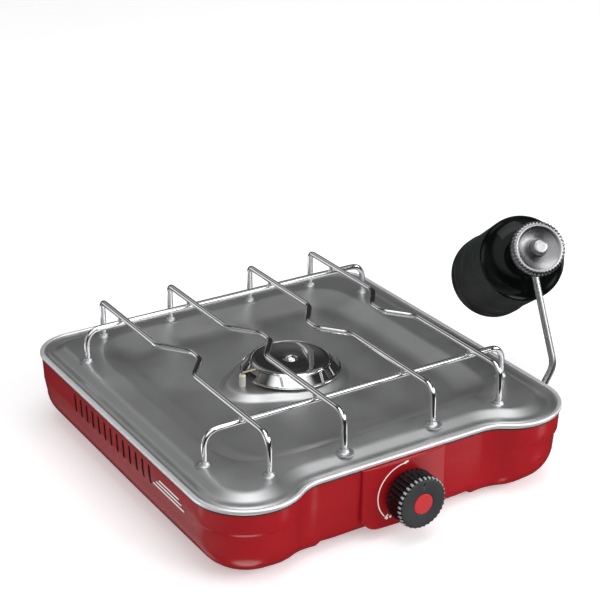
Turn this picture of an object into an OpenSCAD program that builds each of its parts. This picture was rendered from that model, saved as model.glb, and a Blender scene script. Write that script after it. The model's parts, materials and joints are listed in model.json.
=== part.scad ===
// Single-burner camp stove with a wire pot grate, a front control knob and a
// screw-on gas cylinder held by a plug-in pressure regulator.
// Millimetres. +Z is up, the front is -Y, and z = 0 is the floor under the grate's centre.

/* [Rim and casing] */
// Half width of the hemmed rim
rim_half = 167.3; // [166:0.1:168.5]
// Depth from the centre to the straight middle of the front edge
rim_front = 163.3; // [162.5:0.1:164]
// Depth from the centre to the back edge
rim_back = 171.6; // [171:0.1:173]
// How far the front corner lobes stand out past the middle of the front
lobe_out = 15; // [12:0.5:16]
// Height of the top of the rim
rim_top = 67.9; // [67.5:0.1:68.5]
// Radius of the tub's lower edge at the sides, back and lobes
tub_edge_r = 30; // [26:1:31]
// Radius of the tub's lower edge along the middle of the front
front_edge_r = 12; // [10:1:14]
// Sheet thickness of the casing
casing_t = 1.5; // [1.2:0.1:1.8]
// Number of ventilation slots in the left wall
vent_count = 13; // [5:1:13]

/* [Pan] */
// Sheet thickness of the drip pan
pan_t = 0.9; // [0.7:0.1:1.1]
// Height of the raised shelf that carries the grate collars
shelf_z = 71; // [70.5:0.1:71.3]
// Height of the sunken floor round the burner
well_z = 64; // [63.5:0.1:65]
// Height of the raised boss under the burner
boss_z = 69; // [68.7:0.1:69.1]

/* [Grate] */
// Diameter of the grate wire
wire_d = 5; // [4.4:0.1:5.2]
// Height of the long wires' centre line
grate_z = 103.9; // [102:0.5:106]
// Distance of the legs of the long wires from the centre, front and back
leg_y = 141.7; // [141:0.1:142.5]
// Distance of the legs of the cross wires from the centre, left and right
leg_x = 140; // [139.5:0.1:140.5]
// Sideways depth of the bend near the middle of each long wire
bump = 18.5; // [15:0.5:19]

/* [Knob] */
// Radius of the control knob over its flutes
knob_r = 21.8; // [21:0.1:22.5]
// Height of the knob's axis
knob_z = 36.3; // [36:0.1:37]
// Number of flutes round the knob
flutes = 32; // [24:1:36]
// Angle the knob turns from off to its end mark
dial_sweep = 130; // [100:5:135]

/* [Gas supply] */
// Outer diameter of the cylinder's straight part
tank_d = 75; // [72:0.5:76]
// Compass heading of the cylinder's axis, from straight back towards the right
tank_heading = 21.3; // [20:0.1:22]
// Slope of the cylinder's axis below level
tank_dip = 32.1; // [31:0.1:33]
// Outer diameter of the supply pipe
pipe_d = 6; // [5.5:0.1:6.2]

/* [Hidden] */

bend_steps = 6;        // rings in each bend of a swept tube
wire_sides = 12;       // sides of a swept wire
corner_min = 3;        // smallest plan radius an inset corner may reach
lobe_r = 46;           // plan radius of the front corners
back_r = 36;           // plan radius of the back corners
dip_r = 34;            // plan radius where the front steps out to a lobe
crease_z = 45.5;       // height of the crease round the front lobes
crease = 2;            // depth of that crease
draft_in = 3.8;        // inset of the wall where the lower edge starts
ledge_z = 6.5;         // underside of the ledge that carries the base plate
ledge = 14;            // width of that ledge
burner = [0, 3];       // burner axis in plan
wire_r = wire_d / 2;
cross_z = grate_z - wire_d - 0.4;
outer_x = 107;         // outer long wires
inner_x = 41.2;        // inner long wires
cross_y = 103.1;       // cross wires
leg_foot = 67;         // lower ends of the grate's legs
collar_z = 75;         // tops of the pan's collars
collar_bore = 3;       // radius of the bores in the collars
fit = 0.06;            // running clearance on the radius
socket = [146, -112, 50];   // inner end of the inlet socket
socket_out = 165.9;    // outer face of the wall at the socket
pipe_knee = [190, -112, 71.5];
pipe_end = [191.2, -75.7, 149.8];
pipe_dir = (pipe_end - pipe_knee) / norm(pipe_end - pipe_knee);
tank_tip = [191, -84.9, 169.3];   // front of the regulator's boss
tank_r = tank_d / 2;
panel_y = -166.4;      // front of the control panel
knob_back = -169.9;
knob_front = -189;
spark = [-50, -3];     // electrode post in plan
mark_t = 0.3;          // gap that the printed marks fill in front of the panel
print_t = mark_t - 0.02;    // their thickness
spring_turns = 4;      // turns of each coil spring

middle_sole_z = 5.5;   // underside of the casing's wall in the middle of the front
sole_z = 2;            // underside of the wall elsewhere
front_blend = [58, 124];    // sideways places where the front's edge radius starts and ends to grow
crease_blend = [80, 130];   // the same for the crease's depth
plate_lap = 7.5;       // how far inside the wall's lower edge the base plate ends
knob_hole_r = 8.2;     // hole for the valve's neck
vent_first_y = 75;     // rearmost ventilation slot
vent_span = 136;       // distance from it to the foremost slot
vent_low = 43;         // centres of a slot's round ends
vent_high = 56.7;
vent_r = 1.7;          // half width of a slot

m3_r = 1.5;            // shank of a small screw
m3_hole_r = 1.7;       // clearance hole for it
panel_t = 4;           // thickness of the control panel
stem_front = -186.5;   // front end of the knob's stem
stem_r = 4;
neck_front = -171;     // front end of the valve's neck
neck_r = 7;
body_front = -156;     // front end of the valve's body
body_len = 34;
body_r = 13;
plug_front = -140;     // front end of the chamber that holds the valve plug
plug_r = 6.5;
branch_y = -135;       // branch of the valve that takes the inlet pipe
branch_len = 22;
way_r = 1.5;           // gas ways in the valve and the jet
jet_y = body_front + body_len + 0.1;
bell_y = -112;         // mouth of the venturi tube
bracket_y = -157.6;    // front face of the valve bracket
bracket_t = 1.6;
bracket_w = 64;
piezo_x = -29;         // piezo igniter, left of the valve
screw_x = 17;          // bracket screws, left and right of the valve
piezo_end = bracket_y + 36.6;
post_z = 56;           // lower end of the electrode post
spark_z = 81;          // height of the electrode's level tip
skirt_z = boss_z + 1.5;     // foot of the burner skirt
cap_z = 77.3;          // underside of the burner cap

enamel = [0.55, 0.06, 0.08];
brass = [0.72, 0.56, 0.25];
zinc = [0.70, 0.70, 0.72];
alloy = [0.66, 0.66, 0.67];
chrome = [0.78, 0.78, 0.79];
polished = [0.80, 0.80, 0.81];
black_rubber = [0.05, 0.05, 0.05];

// ---------- plan outline of the rim ----------

function mixv(a, b, t) = a + (b - a) * t;

// Angle at which the inward and outward arcs of the front edge meet.
sway = let (dy = lobe_r - lobe_out + dip_r) atan2(sqrt(pow(lobe_r + dip_r, 2) - dy * dy), dy);
lobe_c = [rim_half - lobe_r, -rim_front - lobe_out + lobe_r];
dip_c = [lobe_c.x - (lobe_r + dip_r) * sin(sway), -rim_front - dip_r];

// Each point: [centre, outward direction, plan radius, inner corner sign, lobe share 0 to 1].
// A negative radius marks the inward arc, and 0 a straight.
right_half = concat(
    [for (x = [12, 36, 58, dip_c.x - 3]) [[x, -rim_front], [0, -1], 0, [0, 0], 0]],
    [for (i = [0:3]) let (a = sway * i / 4)
        [dip_c, [-sin(a), -cos(a)], -dip_r, [0, 0], 0.25 + i / 4]],
    [for (i = [0:9]) let (a = 270 - sway + (90 + sway) * i / 9)
        [lobe_c, [cos(a), sin(a)], lobe_r, [-1, 1], 1]],
    [for (i = [1:7]) [[rim_half, mixv(lobe_c.y, rim_back - back_r, i / 8)], [1, 0], 0, [0, 0],
        i < 3 ? 1 - i / 3 : 0]],
    [for (i = [0:6]) let (a = 90 * i / 6)
        [[rim_half - back_r, rim_back - back_r], [cos(a), sin(a)], back_r, [-1, -1], 0]],
    [for (x = [106, 76, 46, 16]) [[x, rim_back], [0, 1], 0, [0, 0], 0]]);

function flip(p) = [[-p[0].x, p[0].y], [-p[1].x, p[1].y], p[2], [-p[3].x, p[3].y], p[4]];
half_n = len(right_half);
rim = concat(right_half, [for (i = [half_n - 1:-1:0]) flip(right_half[i])]);

// Point of the outline moved inward by m, with corners never tighter than corner_min.
function inset(p, m) =
    p[2] > 0 ? p[0] + p[3] * max(0, m - p[2] + corner_min) + p[1] * max(p[2] - m, corner_min)
    : p[2] < 0 ? p[0] - p[1] * (-p[2] + m)
    : p[0] - p[1] * m;
function flat_ring(m) = [for (p = rim) inset(p, m)];
function at_z(ring, z) = [for (q = ring) [q.x, q.y, z]];

// Closed shell from rings in order: the first ring joins the last one.
module ring_shell(rings) {
    n = len(rings[0]);
    k = len(rings);
    polyhedron(
        points = [for (r = rings) for (q = r) q],
        faces = [for (j = [0:k - 1]) for (i = [0:n - 1])
            let (a = j * n + i, b = j * n + (i + 1) % n,
                 c = ((j + 1) % k) * n + (i + 1) % n, d = ((j + 1) % k) * n + i)
            each [[a, b, c], [a, c, d]]],
        convexity = 8);
}

// ---------- swept tubes and wires ----------

function unit(v) = v / norm(v);

// Path through the corners p with each inner corner rounded over the length cut[i].
function bent(p, cut) = concat([p[0]],
    [for (i = [1:len(p) - 2])
        let (a = p[i] + unit(p[i - 1] - p[i]) * cut[i - 1],
             b = p[i] + unit(p[i + 1] - p[i]) * cut[i - 1])
        for (s = [0:bend_steps]) let (t = s / bend_steps)
            mixv(mixv(a, p[i], t), mixv(p[i], b, t), t)],
    [p[len(p) - 1]]);

function tangent(p, i) = i == 0 ? unit(p[1] - p[0])
    : i == len(p) - 1 ? unit(p[i] - p[i - 1])
    : unit(unit(p[i + 1] - p[i]) + unit(p[i] - p[i - 1]));

function tube_ring(c, t, up, r, sides) =
    let (u = unit(cross(t, up)), v = cross(t, u))
    [for (k = [0:sides - 1]) let (a = 360 * k / sides) c + (u * cos(a) + v * sin(a)) * r];

module swept(path, up, r, sides = wire_sides) {
    n = len(path);
    polyhedron(
        points = [for (i = [0:n - 1]) each tube_ring(path[i], tangent(path, i), up, r, sides)],
        faces = concat([[for (k = [0:sides - 1]) k]],
            [for (i = [0:n - 2]) for (k = [0:sides - 1])
                let (a = i * sides + k, b = i * sides + (k + 1) % sides)
                each [[a, b + sides, b], [a, a + sides, b + sides]]],
            [[for (k = [sides - 1:-1:0]) (n - 1) * sides + k]]),
        convexity = 8);
}

// Hollow tube: the wall is a closed shell from the outside rings and the inside rings.
module swept_tube(path, up, r, bore, sides = wire_sides) {
    n = len(path);
    ring_shell(concat(
        [for (i = [n - 1:-1:0]) tube_ring(path[i], tangent(path, i), up, r, sides)],
        [for (i = [0:n - 1]) tube_ring(path[i], tangent(path, i), up, bore, sides)]));
}

// ---------- frames ----------

module along_front(y, z = knob_z) translate([0, y, z]) rotate([-90, 0, 0]) children();
module along_x(x) translate([x, socket.y, socket.z]) rotate([0, 90, 0]) children();
module tank_frame() translate(tank_tip) rotate([-90 - tank_dip, 0, -tank_heading]) children();
module ring(r_out, r_in, h, z = 0) translate([0, 0, z]) difference() {
    cylinder(r = r_out, h = h, $fn = 64);
    translate([0, 0, -1]) cylinder(r = r_in, h = h + 2, $fn = 64);
}
module lathe(pts) rotate_extrude($fn = 72) polygon(pts);

// ---------- casing ----------

function smooth(x, span) =
    let (t = min(1, max(0, (x - span[0]) / (span[1] - span[0])))) t * t * (3 - 2 * t);
function is_middle(p) = p[1].y < 0 && p[2] == 0;
function edge_share(p) = p[1].y < -0.01 ? smooth(abs(inset(p, 0).x), front_blend) : 1;
function edge_r(p) = mixv(front_edge_r, tub_edge_r, edge_share(p));
function sole(p) = is_middle(p) ? middle_sole_z : sole_z;
function crease_at(p) = crease * min(p[4], smooth(abs(inset(p, 0).x), crease_blend));

// Outer wall [inset, height] for one outline point, from the top down to the ledge.
function tub_out(p) = let (r = edge_r(p), s = sole(p), c = crease_at(p), e = draft_in + r)
    concat([[1.3, rim_top - 1.9], [2, crease_z + 1], [2 + c, crease_z - 1],
            [draft_in + c / 2, s + r]],
        [for (a = [18:18:90]) [e - (r - c / 2) * cos(a), s + r - r * sin(a)]],
        [[e + 2, s], [e + 6, ledge_z], [e + ledge, ledge_z]]);
// The same wall one sheet thickness inside, from the ledge back up.
function tub_in(p) =
    let (r = edge_r(p), s = sole(p), c = crease_at(p), e = draft_in + r, t = casing_t)
    concat([[e + ledge, ledge_z + t], [e + 5.4, ledge_z + t], [e + 1.2, s + t]],
        [for (a = [90:-18:18]) [e - (r - c / 2 - t) * cos(a), s + r - (r - t) * sin(a)]],
        [[draft_in + c / 2 + t, s + r], [2 + c + t, crease_z - 1 - t / 2],
         [2 + t, crease_z + 1 - t / 2], [1.3 + t, rim_top - 1.9]]);
function tub_ring(k, inside) = [for (p = rim)
    let (w = (inside ? tub_in(p) : tub_out(p))[k], q = inset(p, w[0])) [q.x, q.y, w[1]]];
tub_levels = len(tub_out(rim[0])) - 1;

module vent_slots(reach = 10) {
    pitch = vent_span / (vent_count - 1);
    for (i = [0:vent_count - 1]) translate([-rim_half - 2, vent_first_y - i * pitch, 0])
        rotate([0, 90, 0]) {
            for (z = [vent_low, vent_high]) translate([-z, 0, 0])
                cylinder(r = vent_r, h = reach, $fn = 24);
            translate([-vent_high, -vent_r, 0]) cube([vent_high - vent_low, 2 * vent_r, reach]);
        }
}

// Round cut through the middle of the front wall.
module front_cut(x, r) translate([x, 0, 0]) along_front(-rim_front - 2)
    cylinder(r = r, h = 12, $fn = 48);

module casing() color(enamel) difference() {
    ring_shell(concat([for (k = [0:tub_levels]) tub_ring(k, false)],
                      [for (k = [0:len(tub_in(rim[0])) - 1]) tub_ring(k, true)]));
    vent_slots();
    front_cut(0, knob_hole_r);
    for (x = [-screw_x, screw_x]) front_cut(x, m3_hole_r);
    along_x(socket.x) cylinder(r = neck_r + 0.4, h = 30, $fn = 48);
    for (q = plate_screws) translate([q.x, q.y, ledge_z - 1]) cylinder(r = 1.2, h = 4, $fn = 24);
}

// ---------- base ----------

plate_screws = [for (x = [-122.8, 122.8]) for (y = [-70, 10, 90]) [x, y]];
feet_at = [for (x = [-104, 104]) for (y = [-108, 112]) [x, y]];

module base_plate() color([0.30, 0.31, 0.32]) difference() {
    translate([0, 0, ledge_z - 1.5]) linear_extrude(1.4)
        polygon([for (p = rim) inset(p, draft_in + edge_r(p) + plate_lap)]);
    for (q = concat(plate_screws, feet_at)) translate([q.x, q.y, 0])
        cylinder(r = m3_hole_r - 0.1, h = 10, $fn = 24);
    for (x = [-60:30:60]) for (y = [-50, 40]) translate([x - 3, y - 20, 0]) cube([6, 40, 10]);
}

module rubber_feet() color(black_rubber) for (q = feet_at) translate([q.x, q.y, 0])
    difference() {
        lathe([[0, 0], [8, 0], [9, 1], [9.5, 4.8], [0, 4.8]]);
        translate([0, 0, -1]) cylinder(r = 4, h = 2.6, $fn = 32);
        cylinder(r = m3_hole_r, h = 10, $fn = 24);
    }

module base_screws() color(zinc) {
    for (q = plate_screws) translate([q.x, q.y, 0]) {
        translate([0, 0, 3.2]) cylinder(r = 3, h = 1.7, $fn = 32);
        translate([0, 0, 4.8]) cylinder(r = 1.1, h = 5, $fn = 24);
    }
    for (q = feet_at) translate([q.x, q.y, 0]) {
        translate([0, 0, 0.2]) cylinder(r = 3.2, h = 1.3, $fn = 32);
        translate([0, 0, 1.4]) cylinder(r = m3_r, h = 6.6, $fn = 24);
        translate([0, 0, 6.6]) cylinder(r = 3.2, h = 2.4, $fn = 6);
    }
}

// ---------- control panel and printing ----------

module control_panel() color(enamel) difference() {
    translate([0, panel_y + panel_t, 0]) rotate([90, 0, 0]) {
        linear_extrude(panel_t - 1) panel_face(0);
        translate([0, 0, panel_t - 1.1]) linear_extrude(1.1) panel_face(1);
    }
    along_front(neck_front - 1) cylinder(r = knob_hole_r, h = 14, $fn = 48);
}
// Outline of the panel, drawn in by m: round below, square above.
module panel_face(m) {
    half = 38.5;
    corner = 14;
    low = 9.5;
    top = 63.9;
    for (x = [corner - half, half - corner]) translate([x, low + corner])
        circle(r = corner - m, $fn = 64);
    translate([corner - half, low + m]) square([2 * (half - corner), corner]);
    translate([m - half, low + corner]) square([2 * (half - m), top - low - corner - m]);
}

module dial_marks() color([0.93, 0.80, 0.78]) along_front(panel_y - mark_t) {
    rotate([0, 0, -90 - dial_sweep]) {
        rotate_extrude(angle = dial_sweep, $fn = 96) translate([25.1, 0]) square([0.9, print_t]);
        translate([22.6, -0.6, 0]) cube([3, 1.2, print_t]);
    }
    translate([0, -26, 0]) cylinder(r = 1.3, h = print_t, $fn = 24);
    for (i = [0:2]) translate([-18 + i * 3.2, 17.6 + i * 1.6, 0]) cube([2, 0.8, print_t]);
}

module side_stripes() color([0.92, 0.88, 0.86]) for (i = [0:2])
    translate([-166, -118 + i * 4, 45.6 + i * 3.2]) cube([0.35, 50 - i * 9, 1.3]);

// ---------- drip pan ----------

// Rounded rectangle in polar form, sampled at the angle of each outline point.
function soft_box(p, hw, hd, mid_y, pow_n) =
    let (q = inset(p, 20), a = atan2(q.y - mid_y, q.x),
         r = pow(pow(abs(cos(a)) / hw, pow_n) + pow(abs(sin(a)) / hd, pow_n), -1 / pow_n))
    [r * cos(a), mid_y + r * sin(a)];
// Circle round the burner, run out by far towards the electrode.
function boss_at(p, r, far) =
    let (q = inset(p, 20) - burner, a = atan2(q.y, q.x), s = spark - burner)
    burner + [cos(a), sin(a)] * (r + far * pow(max(0, cos(a - atan2(s.y, s.x))), 7));

function pan_top(dz) = [
    at_z(flat_ring(3.8 + dz * 0.4), rim_top - 0.9 - dz),
    at_z(flat_ring(13), rim_top - 1.2 - dz),
    at_z(flat_ring(21), shelf_z - dz),
    at_z([for (p = rim) soft_box(p, 127, 131, 7, 7)], shelf_z + 0.2 - dz),
    at_z([for (p = rim) soft_box(p, 120, 124, 5, 7)], shelf_z - 1.5 - dz),
    at_z([for (p = rim) soft_box(p, 107, 109, -1, 7)], well_z - dz),
    at_z([for (p = rim) boss_at(p, 47, 21)], well_z - dz),
    at_z([for (p = rim) boss_at(p, 42, 19)], boss_z - dz),
    at_z([for (p = rim) boss_at(p, 33, 0)], boss_z - dz)];

collars = concat(
    [for (x = [-outer_x, -inner_x, inner_x, outer_x]) for (y = [-leg_y, leg_y]) [x, y]],
    [for (x = [-leg_x, leg_x]) for (y = [-cross_y, cross_y]) [x, y]]);

module collar() {
    h = collar_z - shelf_z + 0.6;
    translate([0, 0, shelf_z - 0.6]) lathe([[0, 0], [7.4, 0], [5, h * 0.7], [4.3, h], [0, h]]);
}

module drip_pan() color([0.50, 0.51, 0.52]) difference() {
    under = pan_top(pan_t);
    over = pan_top(0);
    union() {
        ring_shell(concat(
            [at_z(flat_ring(1), rim_top - 3.7), at_z(flat_ring(1), rim_top - 1.3)],
            under,
            [for (j = [len(over) - 1:-1:0]) over[j]],
            [at_z(flat_ring(3), rim_top), at_z(flat_ring(0.9), rim_top),
             at_z(flat_ring(0), rim_top - 0.9), at_z(flat_ring(0), rim_top - 3.7)]));
        for (q = collars) translate([q.x, q.y, 0]) collar();
    }
    for (q = collars) translate([q.x, q.y, 60]) cylinder(r = collar_bore, h = 30, $fn = 32);
    at_spark(post_z - 1) cylinder(r = 3.3, h = 30, $fn = 32);
}

// ---------- burner ----------

module at_burner(z = 0) translate([burner.x, burner.y, z]) children();
module at_spark(z = 0) translate([spark.x, spark.y, z]) children();

module burner_bowl() color([0.62, 0.62, 0.62]) at_burner()
    lathe([[7.2, 54.5], [8.8, 54.5], [8.8, 57.5], [31.5, 67.4], [31.5, boss_z + 0.2],
           [37.5, boss_z + 0.2], [37.5, boss_z + 1.3], [30, boss_z + 1.3], [30, 68.6], [7.2, 59]]);

module port_ring() color([0.55, 0.50, 0.42]) at_burner() difference() {
    union() {
        ring(33, 30.5, 6.6, boss_z + 1.5);
        translate([-31, -3, boss_z + 2]) cube([62, 6, 3]);
        translate([0, 0, boss_z + 2]) cylinder(r = 6, h = 6, $fn = 32);
    }
    for (a = [0:15:345]) rotate([0, 0, a + 7.5]) translate([29, -1, boss_z + 3]) cube([6, 2, 3.4]);
    translate([0, 0, 60]) cylinder(r = 2.1, h = 30, $fn = 32);
}

// The notch in the skirt's left side lets the spark through.
module burner_skirt() color(polished) at_burner(skirt_z) difference() {
    lathe([[41.8, 0], [43, 0.4], [42.8, 1], [41.4, 1.1], [35, 8.6], [34, 8.4],
           [40.3, 0.9], [40.3, 0]]);
    translate([-50, -8, -1.5]) cube([14, 16, 6.4]);
}

module burner_cap() color(polished) at_burner(cap_z) difference() {
    lathe([[0, 0], [33, 0], [33.8, 0.7], [33.8, 1.7], [32.6, 2.5], [30, 2.8], [18, 2], [0, 1.7]]);
    translate([0, 0, -7]) cylinder(r = 2.2, h = 20, $fn = 32);
}

module burner_screw() color(zinc) at_burner(cap_z) difference() {
    union() {
        translate([0, 0, -11.3]) cylinder(r = 2, h = 13.2, $fn = 32);
        lathe([[0, 1.8], [4.6, 1.8], [4.4, 3.1], [2.6, 3.9], [0, 4.1]]);
    }
    translate([-3, -0.5, 3.1]) cube([6, 1, 3]);
}

module venturi_tube() color(alloy) {
    turn = 16;
    run = burner.y - turn - bell_y;
    along_front(bell_y) lathe([[12, 0], [13, 0], [9, 14], [9, run], [8, run], [8, 14]]);
    translate([0, burner.y - turn, knob_z + turn]) rotate([90, 0, 90]) rotate([0, 0, -90])
        rotate_extrude(angle = 90, $fn = 72) translate([turn, 0]) difference() {
            circle(r = 9, $fn = 48);
            circle(r = 8, $fn = 48);
        }
    at_burner() ring(9, 8, 1.9, knob_z + turn);
}

// ---------- valve, jet and bracket ----------

module gas_jet() color(brass) difference() {
    union() {
        along_front(jet_y) cylinder(r = 5.5, h = 6, $fn = 6);
        along_front(jet_y + 5.9) cylinder(r = 3.2, h = 8, $fn = 32);
    }
    along_front(jet_y - 3.1) cylinder(r = way_r, h = 15, $fn = 24);
    along_front(jet_y + 9.9) cylinder(r = 0.6, h = 8, $fn = 16);
}

module valve_body() color(brass) difference() {
    union() {
        along_front(neck_front) cylinder(r = neck_r, h = body_front - neck_front + 1, $fn = 48);
        along_front(body_front) cylinder(r = body_r, h = body_len, $fn = 64);
        translate([0, branch_y, knob_z]) rotate([0, 90, 0])
            cylinder(r = neck_r, h = branch_len, $fn = 48);
    }
    along_front(neck_front - 1) cylinder(r = stem_r + fit, h = 34, $fn = 48);
    along_front(plug_front) cylinder(r = plug_r + fit, h = 13, $fn = 48);
    along_front(plug_front + 12) cylinder(r = way_r, h = 8, $fn = 24);
    translate([4, branch_y + 4, knob_z]) rotate([0, 90, 0]) cylinder(r = way_r, h = 20, $fn = 24);
}

module valve_nut() color(zinc) difference() {
    along_front(panel_y - 3.8) cylinder(r = 10.5, h = 3.6, $fn = 6);
    along_front(neck_front - 1) cylinder(r = neck_r, h = 8, $fn = 48);
}

// Angle plate behind the front wall, which holds the valve and the igniter.
module valve_bracket() color(alloy) difference() {
    translate([-40, bracket_y, 20]) union() {
        cube([bracket_w, bracket_t, 34]);
        cube([bracket_w, 26, bracket_t]);
    }
    bracket_hole(0, neck_r + 0.2);
    bracket_hole(piezo_x, 6.2);
    for (x = [-screw_x, screw_x]) bracket_hole(x, m3_hole_r);
}
module bracket_hole(x, r) translate([x, 0, 0]) along_front(bracket_y - 4.4)
    cylinder(r = r, h = 8, $fn = 48);

module bracket_screws() color(zinc) for (x = [-screw_x, screw_x]) translate([x, 0, 0]) {
    along_front(bracket_y - 4.6) cylinder(r = m3_r, h = 6.4, $fn = 24);
    along_front(bracket_y + 1.7) cylinder(r = 3, h = 1.8, $fn = 32);
}

module piezo_igniter() color([0.12, 0.12, 0.13]) translate([piezo_x, 0, 0]) {
    along_front(bracket_y - 0.2) cylinder(r = 6, h = 22, $fn = 48);
    along_front(bracket_y + 1.7) cylinder(r = 8, h = 2, $fn = 48);
    along_front(piezo_end - 16) cylinder(r = 4, h = 16, $fn = 48);
}

// High-voltage lead from the igniter, along the floor and up to the electrode.
module igniter_lead() color([0.85, 0.83, 0.78]) swept(
    bent([[piezo_x, piezo_end + 0.2, knob_z], [piezo_x, -92, knob_z], [-48, -60, 24],
          [spark.x, spark.y, 26], [spark.x, spark.y, post_z - 0.2]],
         [12, 14, 16]), [1, 0.35, 0.2], 1.2, 10);

// ---------- gas inlet ----------

module inlet_pipe() color([0.72, 0.60, 0.40]) swept_tube(
    bent([[branch_len + 0.1, branch_y, knob_z], [60, branch_y, knob_z], [100, socket.y, socket.z],
          [socket.x - 0.1, socket.y, socket.z]],
         [14, 14]), [0, 0, 1], 3, 2);

module inlet_socket() color(brass) difference() {
    union() {
        along_x(socket.x) cylinder(r = 10, h = 14.2, $fn = 64);
        along_x(socket.x + 14) cylinder(r = 7, h = 11, $fn = 48);
    }
    along_x(socket.x - 1) cylinder(r = 2, h = 20, $fn = 24);
    along_x(socket.x + 6) cylinder(r = 5 + fit, h = 30, $fn = 48);
}

module socket_nut() color(zinc) along_x(socket_out) difference() {
    cylinder(r = 10.4, h = 3.6, $fn = 6);
    translate([0, 0, -1]) cylinder(r = 7, h = 8, $fn = 48);
}

// ---------- electrode ----------

module electrode_insulator() color([0.90, 0.87, 0.80]) at_spark(post_z) difference() {
    lathe([[0, 0], [2.6, 0], [2.9, 1], [2.9, 22.4], [2.3, 23.6], [0, 23.6]]);
    translate([0, 0, -6]) cylinder(r = 0.95, h = 40, $fn = 24);
}
// Wire that rises through the post and bends over towards the burner.
module electrode_tip() color([0.62, 0.60, 0.56]) at_spark() {
    wire = 0.9;
    turn = 2;
    translate([0, 0, post_z + 2]) cylinder(r = wire, h = spark_z - turn - post_z - 2, $fn = 24);
    translate([turn, 0, spark_z - turn]) rotate([90, 0, 0]) rotate([0, 0, 90])
        rotate_extrude(angle = 90, $fn = 48) translate([turn, 0]) circle(r = wire, $fn = 24);
    translate([turn, 0, spark_z]) rotate([0, 90, 0]) cylinder(r = wire, h = 10.5, $fn = 24);
}
module electrode_clip() color(alloy) at_spark() ring(6, 2.95, 0.9, boss_z - pan_t - 1.1);

// ---------- grate ----------

// Long wire at x, bumped sideways by d.
module pot_wire(x, d) color(chrome) swept(bent(
    [[x, leg_y, leg_foot], [x, leg_y, grate_z], [x, 38, grate_z], [x + d, 12, grate_z],
     [x + d, -3.5, grate_z], [x, -27, grate_z], [x, -leg_y, grate_z], [x, -leg_y, leg_foot]],
    [6, 6, 5, 5, 6, 12]), [1, 0, 0], wire_r);
module cross_wire(y) color(chrome) swept(bent(
    [[-leg_x, y, leg_foot], [-leg_x, y, cross_z], [leg_x, y, cross_z], [leg_x, y, leg_foot]],
    [14, 14]), [0, 1, 0], wire_r);

module pot_wire_1() pot_wire(-outer_x, bump);
module pot_wire_2() pot_wire(-inner_x, bump);
module pot_wire_3() pot_wire(inner_x, -bump);
module pot_wire_4() pot_wire(outer_x, -bump);
module cross_wire_front() cross_wire(-cross_y);
module cross_wire_rear() cross_wire(cross_y);

// ---------- knob and stem ----------

module valve_plug() color(brass) difference() {
    along_front(plug_front + 0.4) cylinder(r = plug_r, h = 11, $fn = 48);
    along_front(plug_front - 1) cylinder(r = stem_r + fit, h = 7.5, $fn = 48);
}
module valve_stem() color(zinc) along_front(stem_front)
    cylinder(r = stem_r, h = plug_front + 3 - stem_front, $fn = 48);

// Round outline with the flutes cut into it as waves.
module flute_outline(r, depth) polygon([for (i = [0:flutes * 6 - 1]) let (a = 60 * i / flutes)
    (r - depth * (0.5 + 0.5 * cos(a * flutes))) * [cos(a), sin(a)]]);

module control_knob() color([0.04, 0.04, 0.045]) difference() {
    along_front(knob_front + 1) linear_extrude(knob_back - knob_front - 1)
        flute_outline(knob_r, 1.5);
    along_front(knob_back - 13) ring(17.5, 5.2, 14);
    along_front(knob_back - 4.2) cylinder(r = 9, h = 5, $fn = 48);
    along_front(stem_front - 0.1) cylinder(r = stem_r, h = 20, $fn = 48);
}
module knob_face() color([0.20, 0.20, 0.21]) difference() {
    along_front(knob_front) linear_extrude(0.98) flute_outline(knob_r - 1.1, 0.8);
    along_front(knob_front - 1) cylinder(r = 8.7, h = 4, $fn = 64);
    translate([-0.6, knob_front - 0.1, knob_z + knob_r - 6.5]) cube([1.2, 0.6, 3]);
}
module knob_centre_cap() color([0.75, 0.08, 0.08])
    along_front(knob_front - 0.2) cylinder(r = 8.5, h = 1.18, $fn = 64);

module coil(r, wire, length, turns) swept([for (i = [0:turns * 12]) let (a = i * 30)
    [r * cos(a), r * sin(a), wire + (length - 2 * wire) * i / (turns * 12)]], [0, 0, 1], wire, 8);
module stem_spring() color(zinc)
    along_front(knob_back - 12.9) coil(6.3, 0.6, 11.7, spring_turns);

// ---------- regulator ----------

module regulator_plug() color(brass) difference() {
    union() {
        along_x(socket.x + 7) cylinder(r = 5, h = 20, $fn = 48);
        along_x(socket.x + 25.4) cylinder(r = 7.5, h = 2.6, $fn = 48);
    }
    along_x(socket.x) cylinder(r = 2, h = 40, $fn = 24);
    along_x(socket.x + 9.5) ring(8, 4.2, 1.9);
}
module plug_ring() color(black_rubber) along_x(socket.x + 10.45)
    rotate_extrude($fn = 48) translate([4.6, 0]) circle(r = 0.36, $fn = 24);

module regulator_pipe() color([0.62, 0.62, 0.62]) swept_tube(
    bent([[socket.x + 28.1, socket.y, socket.z], [socket.x + 31, socket.y, socket.z],
          pipe_knee, pipe_end],
         [2.6, 7]), [0, 1, 0.02], pipe_d / 2, pipe_d / 2 - 1, 14);

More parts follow.
